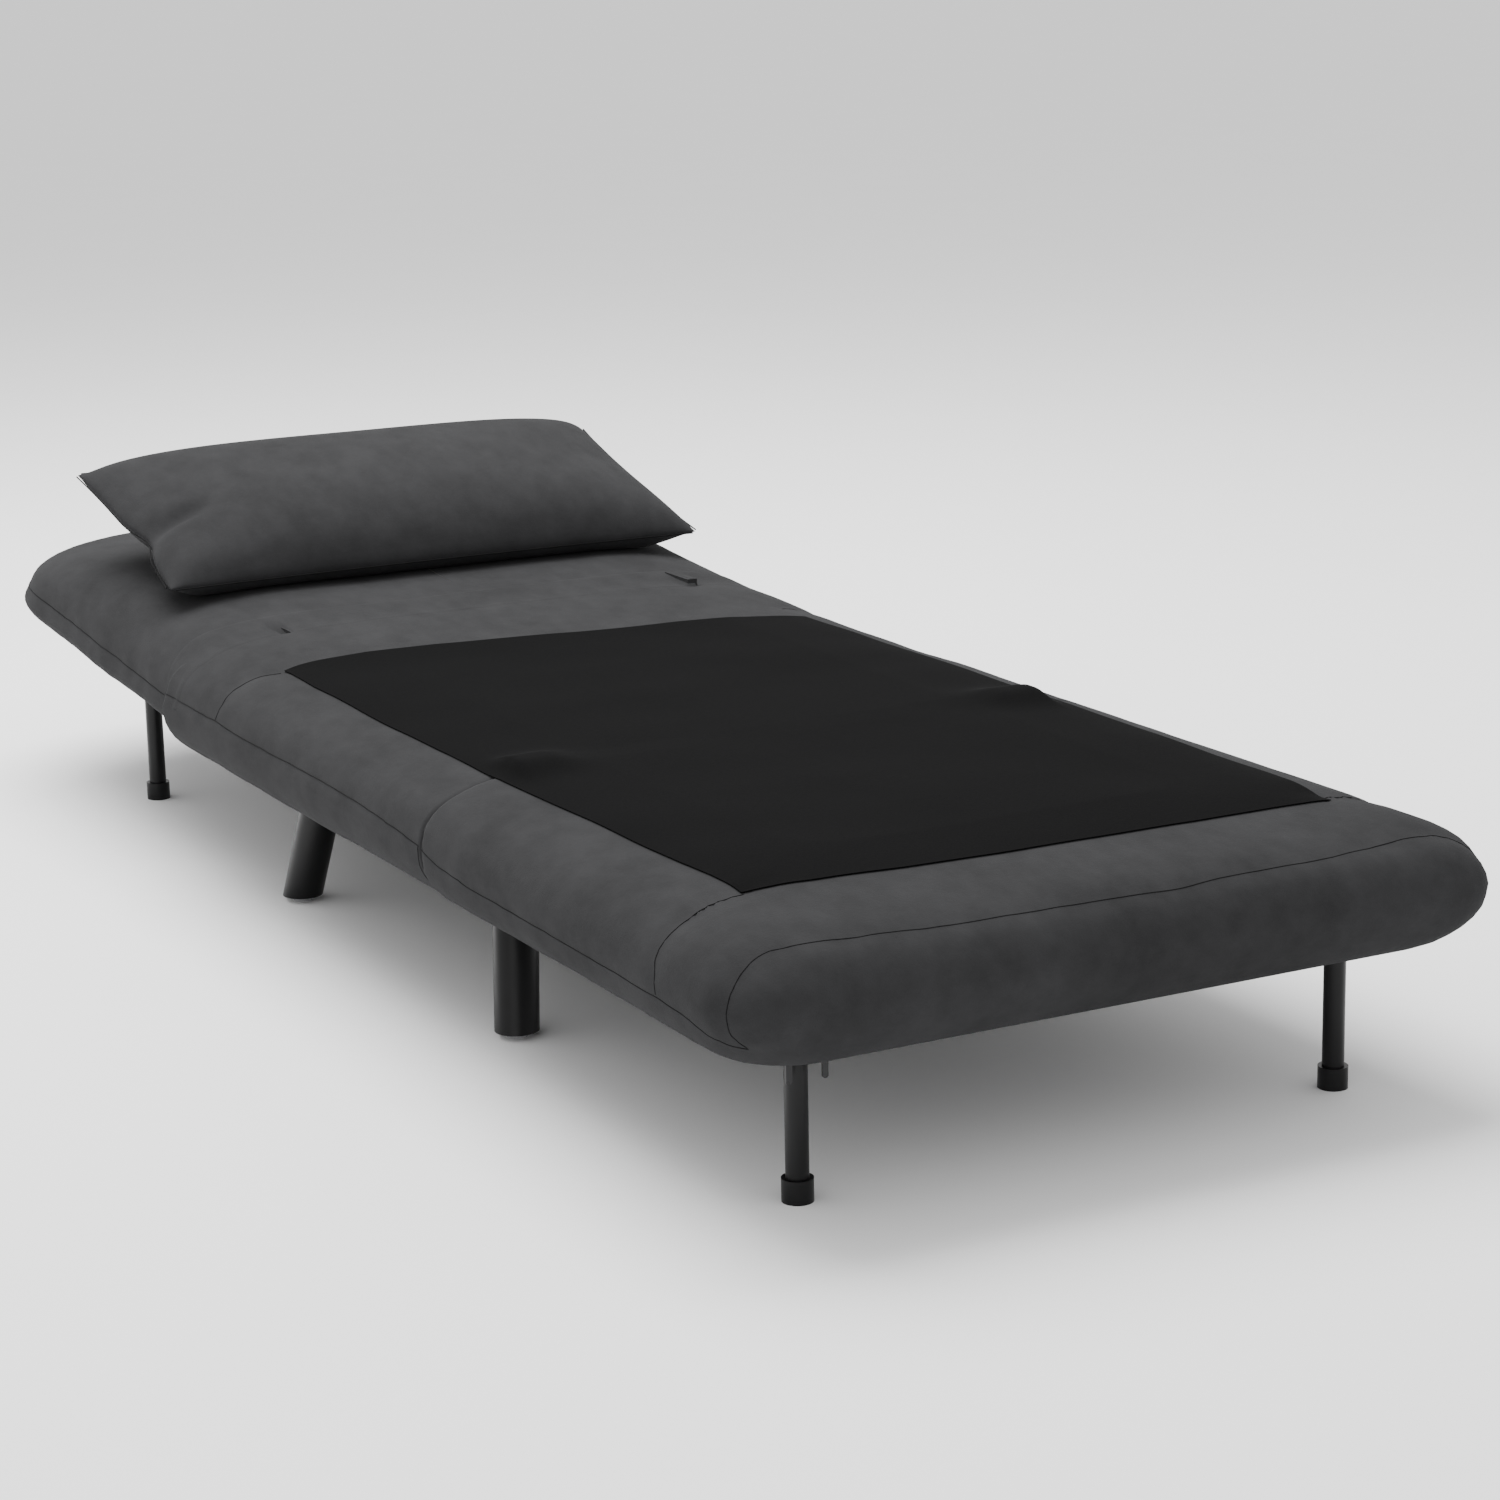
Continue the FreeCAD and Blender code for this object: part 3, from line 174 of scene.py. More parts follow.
def tidy(mesh, gap=2e-5, smooth=True):
    """Merge doubled points, drop empty faces and turn every face outwards."""
    shape = bmesh.new()
    shape.from_mesh(mesh)
    bmesh.ops.remove_doubles(shape, verts=shape.verts, dist=gap)
    bmesh.ops.dissolve_degenerate(shape, edges=shape.edges, dist=gap)
    bmesh.ops.recalc_face_normals(shape, faces=shape.faces)
    for face in shape.faces:
        face.smooth = smooth
    shape.to_mesh(mesh)
    shape.free()
    mesh.update()


def coordinates(mesh):
    flat = np.zeros(len(mesh.vertices) * 3)
    mesh.vertices.foreach_get("co", flat)
    return flat.reshape(-1, 3)


def normals(mesh):
    flat = np.zeros(len(mesh.vertices) * 3)
    mesh.vertices.foreach_get("normal", flat)
    return flat.reshape(-1, 3)


def place(mesh, points):
    mesh.vertices.foreach_set("co", np.asarray(points, np.float32).ravel())
    mesh.update()


def baked(piece):
    """Replace a piece's mesh by its evaluated one and drop its modifiers."""
    view = bpy.context.evaluated_depsgraph_get()
    mesh = bpy.data.meshes.new_from_object(piece.evaluated_get(view))
    old = piece.data
    piece.modifiers.clear()
    piece.data = mesh
    if old.users == 0:
        bpy.data.meshes.remove(old)
    return piece


def box_piece(name, low, high):
    mesh = bpy.data.meshes.new(name)
    shape = bmesh.new()
    bmesh.ops.create_cube(shape, size=1)
    for point in shape.verts:
        for axis in range(3):
            point.co[axis] = low[axis] + (point.co[axis] + 0.5) * (high[axis] - low[axis])
    shape.to_mesh(mesh)
    shape.free()
    piece = bpy.data.objects.new(name, mesh)
    bpy.context.scene.collection.objects.link(piece)
    return piece


def carve(piece, boxes):
    """Cut boxes, each a low and a high corner in metres, out of a piece."""
    for number, (low, high) in enumerate(boxes):
        tool = box_piece("carving_%d" % number, low, high)
        cut = piece.modifiers.new("carve", "BOOLEAN")
        cut.operation = "DIFFERENCE"
        cut.solver = "EXACT"
        cut.object = tool
        baked(piece)
        bpy.data.objects.remove(tool)
    piece.data.set_sharp_from_angle(angle=math.radians(50))


def evened(mesh, points, fixed, rounds):
    """Points of a mesh after rounds of moving each towards its neighbours' mean, except the fixed ones."""
    pairs = np.array([edge.vertices[:] for edge in mesh.edges])
    free = np.ones(len(points), bool)
    free[fixed] = False
    count = np.bincount(pairs.ravel(), minlength=len(points))[:, None]
    for _ in range(rounds):
        total = np.zeros_like(points)
        np.add.at(total, pairs[:, 0], points[pairs[:, 1]])
        np.add.at(total, pairs[:, 1], points[pairs[:, 0]])
        points = np.where(free[:, None], total / count, points)
    return points


def soft_noise(points, scale, seed, octaves=3):
    """Smooth noise between about -1 and 1 at each point; scale is the size of a patch in metres."""
    shift = Vector((seed * 7.31, seed * 3.17, seed * 1.93))
    return np.array([noise.fractal(Vector(p) / scale + shift, 0.6, 2.0, octaves) for p in points])


# Seams of the covers, as points in millimetres
def path(points, step=mm(4)):
    """Evenly spaced points in metres along a polyline in millimetres."""
    points = np.array(points, float) * 0.001
    length = np.r_[0, np.cumsum(np.linalg.norm(np.diff(points, axis=0), axis=1))]
    at = np.linspace(0, length[-1], max(2, int(length[-1] / step) + 1))
    return np.c_[tuple(np.interp(at, length, points[:, axis]) for axis in range(3))]


def both(points):
    return [points, [(-x, y, z) for x, y, z in points]]


SEAT_SIDE = [(-369, 300, 203), (-369, 177, 203), (-369, 146, 204), (-369, 113, 201), (-369, 68, 199.5),
             (-369, -28, 201), (-369, -132, 202), (-369, -230, 200), (-369, -319, 195.5), (-369, -345, 193.5),
             (-369, -376, 190)]
SEAT_REAR_GUSSET = [(-368, 147, 204), (-361, 147, 206), (-354, 149.5, 216.2), (-347.6, 152, 222.2),
                    (-336, 155.5, 229), (-321.5, 154.6, 235), (-307, 153, 239.3), (-289.5, 143, 242.8)]
SEAT_FRONT_LOW = [(-369, -376, 190), (-369, -374, 175), (-361, -372, 155), (-345, -370, 140),
                  (-330, -368, 134)]
FRONT_SIDE = [(-369, -385, 188), (-369, -423, 180.5), (-369, -480, 176), (-369, -640, 175),
              (-369, -780, 174.5), (-369, -840, 173), (-366, -892, 168), (-360, -930, 159), (-351, -953, 148)]
FRONT_GUSSET = [(-369, -838, 175.5), (-369, -837.8, 191), (-363, -832, 204), (-357, -831, 212.5),
                (-347.6, -830, 222.2), (-330.7, -827, 231.3), (-303.4, -825, 240), (-277, -823, 243)]
FACE_LEFT = [(-351, -953, 148), (-360, -947, 170), (-361, -944.5, 189.5), (-355, -942.5, 203.9),
             (-343.8, -938, 215.8), (-327, -932, 226), (-314, -930, 229.4), (-293, -933, 231.3),
             (-240, -939, 230.3), (-185, -942.8, 229.4)]
FACE_TOP = [(-185, -942.8, 229.4), (-86, -943, 229.4), (46, -947, 227.2), (103, -943, 229.4),
            (185, -942.8, 229.4)]
BACK_SIDE = [(-358, 8, 40), (-358, 40, 39), (-358, 120, 40), (-358, 240, 41), (-358, 340, 42),
             (-358, 420, 42), (-350, 520, 40), (-322, 600, 36)]
BACK_END = [(-322, 600, 36), (-280, 642, 34), (-225, 668, 32), (-120, 678, 31), (0, 680, 31)]


def back_to_row(points):
    """From distance across, along and above the back panel's underside to the row frame, in millimetres."""
    turn = np.array([(1, 0, 0), (0, math.cos(BACK_TILT), -math.sin(BACK_TILT)),
                     (0, math.sin(BACK_TILT), math.cos(BACK_TILT))])
    return np.asarray(points, float) @ turn.T + np.array(BACK_BASE) * 1000


# Edges of the deck cloth: share of its half width, and distance along the bed in millimetres
DECK_FRONT = [(-1, -821), (-0.8, -831), (-0.5, -836), (0, -840), (0.5, -842), (0.85, -840), (1, -838)]
DECK_REAR = [(-1, 143), (-0.8, 141), (-0.43, 137), (0.1, 114), (0.5, 105), (0.83, 90), (1, 84)]

SEAMS = {
    "seat_cover": both(SEAT_SIDE) + both(SEAT_REAR_GUSSET) + both(SEAT_FRONT_LOW),
    "front_cover": both(FRONT_SIDE) + both(FRONT_GUSSET) + both(FACE_LEFT) + [FACE_TOP],
    "back_cover": [back_to_row(line) for line in both(BACK_SIDE) + both(BACK_END)],
}


def settle(piece, lines):
    """Lay lines of points on a piece's surface."""
    tree = BVHTree.FromObject(piece, bpy.context.evaluated_depsgraph_get())
    return [np.array([tree.find_nearest(Vector(point))[0] for point in path(line)]) for line in lines]


def distance_to(points, lines):
    marks = np.vstack(lines)
    best = np.full(len(points), 1e9)
    for start in range(0, len(marks), 40):
        gap = points[:, None, :] - marks[None, start:start + 40, :]
        best = np.minimum(best, np.sqrt((gap ** 2).sum(2)).min(1))
    return best


def upholster(piece, seed, lines):
    """Draw a cover in along its seams and let the filling show between them."""
    mesh = piece.data
    points = coordinates(mesh)
    out = normals(mesh)
    gap = distance_to(points, lines)
    valley = mm(1.9) * np.exp(-(gap / mm(10)) ** 2) + mm(1.2) * np.exp(-(gap / mm(26)) ** 2)
    pucker = soft_noise(points, mm(38), seed, 2) * mm(1.1) * np.exp(-gap / mm(34))
    swell = soft_noise(points, mm(190), seed + 1, 2) * mm(1.6)
    flat = out[:, 2] < -0.9
    move = np.where(flat, 0, pucker + swell - valley)
    end = (np.abs(out[:, 1]) > 0.75) & (np.minimum(np.abs(points[:, 1] - FRONT_CREASE),
                                                    np.abs(points[:, 1] - REAR_CREASE)) < mm(20))
    move = np.where(end, 0, move)
    place(mesh, points + out * move[:, None])


# The three covers
def stations(profile, height, step=mm(8)):
    """Shares of the height at even steps along a profile of insets."""
    share = np.linspace(0, 1, 600)
    run = np.hypot(np.gradient(profile(share) * 0.001), np.gradient(share * height))
    travelled = np.cumsum(run) - run[0]
    wanted = np.linspace(0, travelled[-1], max(3, int(travelled[-1] / step)))
    return np.interp(wanted, travelled, share)


COUNTS = (14, 76, 84)


def level_ring(half, low, high, radii, z):
    flat = rounded(half, low, high, radii[0], radii[1], COUNTS)
    return np.c_[flat, np.full(len(flat), z)]


def cap_rings(side, low, high, ends, radii, z, count, lift=0.0):
    """Rings from an inset side to the middle line of a panel."""
    rings = []
    reach = 0.46 * (ends[1] - ends[0])
    for t in np.linspace(0, 1, count + 1)[1:]:
        inner = side + t * (HALF_WIDTH - side) * SHORT_OF_MIDDLE
        first = low + t * max(reach - low, 0) * 0.5
        last = high + t * max(reach - high, 0) * 0.5
        rings.append(level_ring(HALF_WIDTH - inner, ends[0] + first, ends[1] - last, radii, z + lift * t))
    return rings


def rear_edge(level):
    """The seat's rear edge stands back above the pivot, so that the back can roll over it."""
    radius = mm(57)
    rise = max(level - PIVOT.z, 0)
    return REAR_CREASE - (PIVOT.y + math.sqrt(radius ** 2 - rise ** 2)) - mm(0.6)


def panel_rings(ends, radii, low_profile, high_profile, opening=None):
    side_up = smooth_curve(SHOULDER)
    low_up = smooth_curve(low_profile)
    high_up = smooth_curve(high_profile) if high_profile else None
    down = smooth_curve(BELLY)
    rings = []
    for share in reversed(stations(down, WIDEST - UNDERSIDE)):
        level = WIDEST - share * (WIDEST - UNDERSIDE)
        side = mm(float(down(share)))
        first = side if low_profile is FOOT_SHOULDER else 0.25 * side
        rings.append(level_ring(HALF_WIDTH - side, ends[0] + first, ends[1] - 0.25 * side, radii, level))
    if opening:
        side, end, depth = opening
        edge = [level_ring(HALF_WIDTH - side, ends[0] + end, ends[1] - end, (mm(3), mm(3)), UNDERSIDE + rise)
                for rise in (depth, 0)]
        floor = cap_rings(side, end, end, ends, (mm(3), mm(3)), UNDERSIDE + depth, 12)
        rings = list(reversed(floor)) + edge + rings
    else:
        floor = cap_rings(mm(42), mm(42), mm(10), ends, radii, UNDERSIDE, 22)
        rings = list(reversed(floor)) + rings
    for share in stations(side_up, CROWN - WIDEST)[1:]:
        level = WIDEST + share * (CROWN - WIDEST)
        last = mm(float(high_up(share))) if high_up else rear_edge(level)
        rings.append(level_ring(HALF_WIDTH - mm(float(side_up(share))), ends[0] + mm(float(low_up(share))),
                                ends[1] - last, radii, level))
    last = mm(high_profile[-1][1]) if high_up else rear_edge(CROWN)
    return rings + cap_rings(mm(SHOULDER[-1][1]), mm(low_profile[-1][1]), last, ends, radii, CROWN, 14)


def back_rings():
    rows = np.array(BACK_ROWS)
    side, head, crease = [smooth_curve(rows[:, (0, column)]) for column in (1, 2, 3)]
    fullest = 0.2
    half = BACK_HALF
    length = (BACK_REACH + fullest * BACK_THICKNESS * math.sin(BACK_TILT)) / math.cos(BACK_TILT)
    low_shares = np.array([0, 0.015, 0.04, 0.07, 0.1, 0.15])
    rising = [((row[0] - fullest) / (1 - fullest), row[1]) for row in BACK_ROWS[4:]]
    travel = stations(smooth_curve([(0, 0)] + rising),
                      (1 - fullest) * BACK_THICKNESS, mm(6))
    shares = np.r_[low_shares, fullest + (1 - fullest) * travel]
    rings = []

    def ring(share, inner, end, start):
        height = share * BACK_THICKNESS
        corner = mm(np.interp(share, (0.85, 1), HEAD_R))
        lean = height * math.tan(BACK_TILT)
        flat = rounded(half - inner, lean + start, length - end, mm(14), corner, COUNTS)
        return np.c_[flat, np.full(len(flat), height)]

    for share in shares:
        rings.append(ring(share, mm(float(side(share))), mm(float(head(share))), mm(float(crease(share)))))
    floor = []
    for t in np.linspace(0, 1, 20)[1:]:
        floor.append(ring(0, mm(34) + t * (half - mm(34)) * SHORT_OF_MIDDLE, mm(34) + t * 0.2,
                          mm(2) + t * 0.2))
    roof = []
    for t in np.linspace(0, 1, 12)[1:]:
        roof.append(ring(1, mm(160) + t * (half - mm(160)) * SHORT_OF_MIDDLE, mm(465) + t * mm(50),
                         mm(12) + t * mm(50)))
    rings = list(reversed(floor)) + rings + roof
    return [back_to_row(loop * 1000) * 0.001 for loop in rings]


def seat_cover():
    ends = (FRONT_CREASE - mm(0.2), REAR_CREASE)
    opening = (HALF_WIDTH - mm(269), mm(26), mm(5.5))
    piece = shell("seat_cover", panel_rings(ends, (mm(9), mm(14)), CREASE_EDGE, None, opening))
    points = coordinates(piece.data)
    along = np.clip((points[:, 1] - mm(60)) / mm(225), 0, 1)
    upper = np.clip((points[:, 2] - WIDEST) / (CROWN - WIDEST), 0, 1)
    points[:, 2] += mm(11) * along * along * (3 - 2 * along) * upper ** 2
    place(piece.data, points)
    lines = settle(piece, SEAMS["seat_cover"])
    upholster(piece, 3, lines)
    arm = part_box("hinge_arms")
    for sign in (-1, 1):
        near, far = sorted((sign * (arm[1].x - mm(5.5)), sign * (arm[1].x + mm(6))))
        carve(piece, [((near, PIVOT.y + mm(6), SEAT_SEAM - mm(12)),
                       (far, REAR_CREASE + mm(4), CROWN + mm(15)))])
        carve(piece, [((near - mm(0.6), PIVOT.y - mm(46), SEAT_SEAM - mm(13)),
                       (far + mm(0.6), PIVOT.y + mm(9), CROWN - mm(3)))])
    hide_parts("seat_cushion", "seat_border_front", "seat_border_rear", "seat_border_left",
                "seat_border_right")
    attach(piece, "seat_frame")
    return piece


def front_cover():
    ends = (FOOT_END, FRONT_CREASE + mm(0.2))
    piece = shell("front_cover", panel_rings(ends, (mm(58), mm(9)), FOOT_SHOULDER, CREASE_EDGE))
    lines = settle(piece, SEAMS["front_cover"])
    upholster(piece, 5, lines)
    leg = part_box("front_leg_left")
    line = (leg[0].y + leg[1].y) / 2
    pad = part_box("front_base_pad")
    carve(piece, [((-mm(273), line - mm(15), UNDERSIDE - mm(9)),
                   (mm(273), line + mm(15), pad[1].z + mm(0.2)))])
    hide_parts("front_cushion", "front_base_pad")
    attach(piece, "front_panel")
    return piece


def back_cover():
    piece = shell("back_cover", back_rings())
    upholster(piece, 8, settle(piece, SEAMS["back_cover"]))
    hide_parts("back_cushion", "back_base_pad")
    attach(piece, "back_panel")
    return piece


def seam_tree():
    """Geometry nodes that turn a line of points into a thin round tube of the given thickness, which carries the
    painted shade line of a seam.
    """
    tree = bpy.data.node_groups.new("Seam line", "GeometryNodeTree")
    face = tree.interface
    face.new_socket("Geometry", in_out="INPUT", socket_type="NodeSocketGeometry")
    face.new_socket("Thickness", in_out="INPUT", socket_type="NodeSocketFloat")
    face.new_socket("Spacing", in_out="INPUT", socket_type="NodeSocketFloat")
    face.new_socket("Material", in_out="INPUT", socket_type="NodeSocketMaterial")
    face.new_socket("Geometry", in_out="OUTPUT", socket_type="NodeSocketGeometry")
    nodes, links = tree.nodes, tree.links
    start = nodes.new("NodeGroupInput")
    end = nodes.new("NodeGroupOutput")
    line = nodes.new("GeometryNodeMeshToCurve")
    even = nodes.new("GeometryNodeResampleCurve")
    even.mode = "LENGTH"
    ring = nodes.new("GeometryNodeCurvePrimitiveCircle")
    ring.inputs["Resolution"].default_value = 6
    half = nodes.new("ShaderNodeMath")
    half.operation = "MULTIPLY"
    half.inputs[1].default_value = 0.5
    tube = nodes.new("GeometryNodeCurveToMesh")
    tube.inputs["Fill Caps"].default_value = True
    real = nodes.new("GeometryNodeRealizeInstances")
    paint = nodes.new("GeometryNodeSetMaterial")
    links.new(start.outputs["Geometry"], line.inputs["Mesh"])
    links.new(line.outputs["Curve"], even.inputs["Curve"])
    links.new(start.outputs["Spacing"], even.inputs["Length"])
    links.new(start.outputs["Thickness"], half.inputs[0])
    links.new(half.outputs[0], ring.inputs["Radius"])
    links.new(even.outputs["Curve"], tube.inputs["Curve"])
    links.new(ring.outputs["Curve"], tube.inputs["Profile Curve"])
    links.new(tube.outputs["Mesh"], real.inputs["Geometry"])
    links.new(real.outputs["Geometry"], paint.inputs["Geometry"])
    links.new(start.outputs["Material"], paint.inputs["Material"])
    links.new(paint.outputs["Geometry"], end.inputs["Geometry"])
    return tree


def nodes_piece(name, mesh, tree, values):
    """A plain mesh that a geometry node tree makes from a mesh, with its named inputs set."""
    piece = bpy.data.objects.new(name, mesh)
    bpy.context.scene.collection.objects.link(piece)
    maker = piece.modifiers.new("maker", "NODES")
    maker.node_group = tree
    for item in tree.interface.items_tree:
        if item.item_type == "SOCKET" and item.in_out == "INPUT" and item.name in values:
            maker[item.identifier] = values[item.name]
    baked(piece)
    return piece


def line_mesh(name, lines):
    points = np.vstack(lines)
    edges = []
    start = 0
    for line in lines:
        edges += [(start + k, start + k + 1) for k in range(len(line) - 1)]
        start += len(line)
    mesh = bpy.data.meshes.new(name)
    mesh.from_pydata(points.tolist(), edges, [])
    return mesh


# Materials: a socket that reads like a number
class Wire:
    def __init__(self, paint, socket):
        self.paint = paint
        self.socket = socket

    def join(self, operation, first, second):
        return self.paint.node("ShaderNodeMath", {"operation": operation}, {0: first, 1: second})

    def __add__(self, other):
        return self.join("ADD", self, other)

    __radd__ = __add__

    def __mul__(self, other):
        return self.join("MULTIPLY", self, other)

    __rmul__ = __mul__

    def __sub__(self, other):
        return self.join("SUBTRACT", self, other)

    def __rsub__(self, other):
        return self.join("SUBTRACT", other, self)

    def __pow__(self, other):
        return self.join("POWER", self, other)


class Paint:
    """A material under construction."""

    def __init__(self, name):
        self.material = bpy.data.materials.new(name)
        self.material.use_nodes = True
        self.tree = self.material.node_tree
        self.shader = self.tree.nodes["Principled BSDF"]

    def node(self, kind, settings=None, inputs=None, output=0):
        made = self.tree.nodes.new(kind)
        for key, value in (settings or {}).items():
            setattr(made, key, value)
        for key, value in (inputs or {}).items():
            self.feed(made.inputs[key], value)
        return Wire(self, made.outputs[output])

    def feed(self, socket, value):
        if isinstance(value, Wire):
            self.tree.links.new(value.socket, socket)
        else:
            socket.default_value = value

    def place(self, scale=(1, 1, 1)):
        where = self.node("ShaderNodeTexCoord", output="Object")
        return self.node("ShaderNodeMapping", inputs={"Vector": where, "Scale": scale})

    def noise(self, where, scale, detail=3.0, roughness=0.55):
        return self.node("ShaderNodeTexNoise", inputs={"Vector": where, "Scale": scale, "Detail": detail,
                                                        "Roughness": roughness})

    def spread(self, value, low, high, start=0.0, end=1.0):
        return self.node("ShaderNodeMapRange", inputs={"Value": value, "From Min": low, "From Max": high,
                                                       "To Min": start, "To Max": end})

    def mix(self, share, first, second):
        made = self.tree.nodes.new("ShaderNodeMix")
        made.data_type = "RGBA"
        self.feed(made.inputs["Factor"], share)
        self.feed(made.inputs[6], first)
        self.feed(made.inputs[7], second)
        return Wire(self, made.outputs[2])

    def bump(self, height, distance, strength=1.0):
        made = self.node("ShaderNodeBump", inputs={"Height": height, "Distance": distance,
                                                   "Strength": strength})
        self.feed(self.shader.inputs["Normal"], made)

    def set(self, **values):
        for key, value in values.items():
            self.feed(self.shader.inputs[key.replace("_", " ")], value)
        return self.material


def tone(colour, factor):
    return tuple(min(1.0, part * factor) for part in colour[:3]) + (1.0,)


def velour(name, look, darker=1.0):
    paint = Paint(name)
    where = paint.place()
    patches = paint.noise(where, 9.0, 4.0, 0.6)
    brushed = paint.noise(paint.place((1.0, 0.55, 1.0)), 46.0, 3.0, 0.6)
    fibre = paint.noise(where, 900.0, 2.0, 0.7)
    share = paint.spread(patches * 0.6 + brushed * 0.4, 0.36, 0.64)
    colour = paint.mix(share, tone(look.colour, darker * (1 - look.mottling)),
                       tone(look.colour, darker * (1 + look.mottling)))
    speck = paint.spread(fibre, 0.3, 0.7)
    colour = paint.mix(speck * 0.16, colour, tone(look.colour, darker * 1.7))
    paint.bump(fibre * 0.7 + paint.noise(where, 240.0, 3.0) * 0.6, mm(0.7), 0.6)
    return paint.set(Base_Color=colour, Roughness=0.93, Sheen_Weight=look.sheen, Sheen_Roughness=0.45,
                     Sheen_Tint=tone(look.colour, 5.0), Specular_IOR_Level=0.08)


def nonwoven(name, look):
    paint = Paint(name)
    where = paint.place()
    fibre = paint.noise(where, 620.0, 3.0, 0.7)
    cells = paint.node("ShaderNodeTexVoronoi", {"feature": "F1"}, {"Vector": where, "Scale": 420.0})
    share = paint.spread(fibre, 0.35, 0.7)
    colour = paint.mix(share, tone(look.colour, 0.8), tone(look.colour, 1.3))
    paint.bump(cells * 0.6 + fibre * 0.6, mm(0.25), 0.4)
    return paint.set(Base_Color=colour, Roughness=0.95, Specular_IOR_Level=0.04)


def enamel(name, colour, roughness, grain=1.0):
    """Powder coat or moulded plastic with a fine grain."""
    paint = Paint(name)
    where = paint.place()
    peel = paint.noise(where, 380.0 * grain, 2.0)
    smudge = paint.noise(where, 26.0, 3.0)
    shade = paint.mix(paint.spread(smudge, 0.35, 0.7), tone(colour, 0.9), tone(colour, 1.15))
    paint.bump(peel, mm(0.08), 0.35)
    return paint.set(Base_Color=shade, Roughness=paint.spread(smudge, 0.3, 0.7, roughness - 0.05,
                                                              roughness + 0.06),
                     Specular_IOR_Level=0.22)


def zinc(name, colour):
    paint = Paint(name)
    where = paint.place()
    spangle = paint.node("ShaderNodeTexVoronoi", {"feature": "F1"}, {"Vector": where, "Scale": 240.0})
    blotch = paint.noise(where, 60.0, 3.0)
    shade = paint.mix(paint.spread(blotch, 0.3, 0.7), tone(colour, 0.75), tone(colour, 1.1))
    paint.bump(spangle, mm(0.03), 0.3)
    return paint.set(Base_Color=shade, Metallic=1.0, Roughness=paint.spread(blotch, 0.3, 0.7, 0.28, 0.42))


def plywood(name, colour):
    paint = Paint(name)
    grain = paint.noise(paint.place((2.0, 60.0, 60.0)), 6.0, 5.0, 0.65)
    layers = paint.node("ShaderNodeTexWave", {"bands_direction": "Z"},
                        {"Vector": paint.place(), "Scale": 200.0, "Distortion": 0.6, "Detail": 2.0})
    share = paint.spread(grain, 0.32, 0.68)
    wood = paint.mix(share, tone(colour, 0.72), tone(colour, 1.15))
    wood = paint.mix(layers * 0.25, wood, tone(colour, 0.6))
    paint.bump(grain, mm(0.1), 0.4)
    return paint.set(Base_Color=wood, Roughness=0.5)


def webbing(name, colour):
    paint = Paint(name)
    where = paint.place()
    weave = paint.node("ShaderNodeTexWave", {"bands_direction": "X"}, {"Vector": where, "Scale": 320.0,
                                                                       "Distortion": 0.4})
    colour = paint.mix(weave, tone(colour, 0.7), tone(colour, 1.4))
    paint.bump(weave, mm(0.2), 0.5)
    return paint.set(Base_Color=colour, Roughness=0.85)


def dress(piece, material):
    piece.data.materials.clear()
    piece.data.materials.append(material)


# Settings
def colour_property(name, description, default):
    return FloatVectorProperty(name=name, description=description, default=default, size=3, min=0, max=1,
                               subtype="COLOR")


class VelourSettings(bpy.types.PropertyGroup):
    colour: colour_property("Colour", "Colour of the upholstery cloth", (0.0235, 0.0235, 0.0244))
    mottling: FloatProperty(name="Mottling", description="How much the nap varies in tone", default=0.2,
                            min=0, max=1, subtype="FACTOR")
    sheen: FloatProperty(name="Sheen", description="Strength of the nap's sheen", default=0.08, min=0, max=1,
                         subtype="FACTOR")


class DeckSettings(bpy.types.PropertyGroup):
    colour: colour_property("Colour", "Colour of the deck cloth", (0.0032, 0.0032, 0.0033))
    half: FloatProperty(name="Half width", description="Middle of the bed to the cloth's side edge",
                        default=mm(288),
                        unit="LENGTH")
    thickness: FloatProperty(name="Thickness", description="Thickness of the cloth", default=mm(0.9),
                             unit="LENGTH")


class HardwareSettings(bpy.types.PropertyGroup):
    steel: colour_property("Steel colour", "Colour of the powder-coated steel", (0.004, 0.004, 0.0043))
    plastic: colour_property("Plastic colour", "Colour of the legs and caps", (0.0042, 0.0042, 0.0045))
    # Thickness of the dark tubes that paint the shade line along each seam.
    seam: FloatProperty(name="Seam line", description="Thickness of the dark line of a seam", default=mm(1.0),
                        unit="LENGTH")


class PillowSettings(bpy.types.PropertyGroup):
    steps: IntProperty(name="Steps", description="Frames for which the pillow is inflated", default=30, min=1)
    pressure: FloatProperty(name="Pressure", description="Pressure of the filling", default=6.0, min=0)


class StageSettings(bpy.types.PropertyGroup):
    light: FloatProperty(name="Light", description="Power of the overhead light in watts", default=320.0,
                         min=0, unit="POWER")
    sky: FloatProperty(name="Surroundings", description="Brightness of the surroundings", default=1.15, min=0)


class ChairBedSettings(bpy.types.PropertyGroup):
    velour: PointerProperty(type=VelourSettings, name="Velour", description="The upholstery cloth")
    deck: PointerProperty(type=DeckSettings, name="Deck cloth", description="The black deck cloth")
    hardware: PointerProperty(type=HardwareSettings, name="Hardware", description="Steel, plastic and seams")
    pillow: PointerProperty(type=PillowSettings, name="Pillow", description="The loose pillow")
    stage: PointerProperty(type=StageSettings, name="Stage", description="Floor and light")


def found(name):
    piece = bpy.data.objects.get(name)
    if piece is None:
        raise RuntimeError("the piece is missing: " + name)
    return piece


def shared(name, maker, *values):
    return bpy.data.materials.get(name) or maker(name, *values)


def cloth_finish():
    return shared("charcoal_velour", velour, bpy.context.scene.chair_bed.velour)


# A dark copy of the velour at 0.3 of its tone: painted shade for the lines along the seams.
def painted_seam_shade():
    look = bpy.context.scene.chair_bed.velour
    return bpy.data.materials.get("seam_shadow") or velour("seam_shadow", look, 0.3)


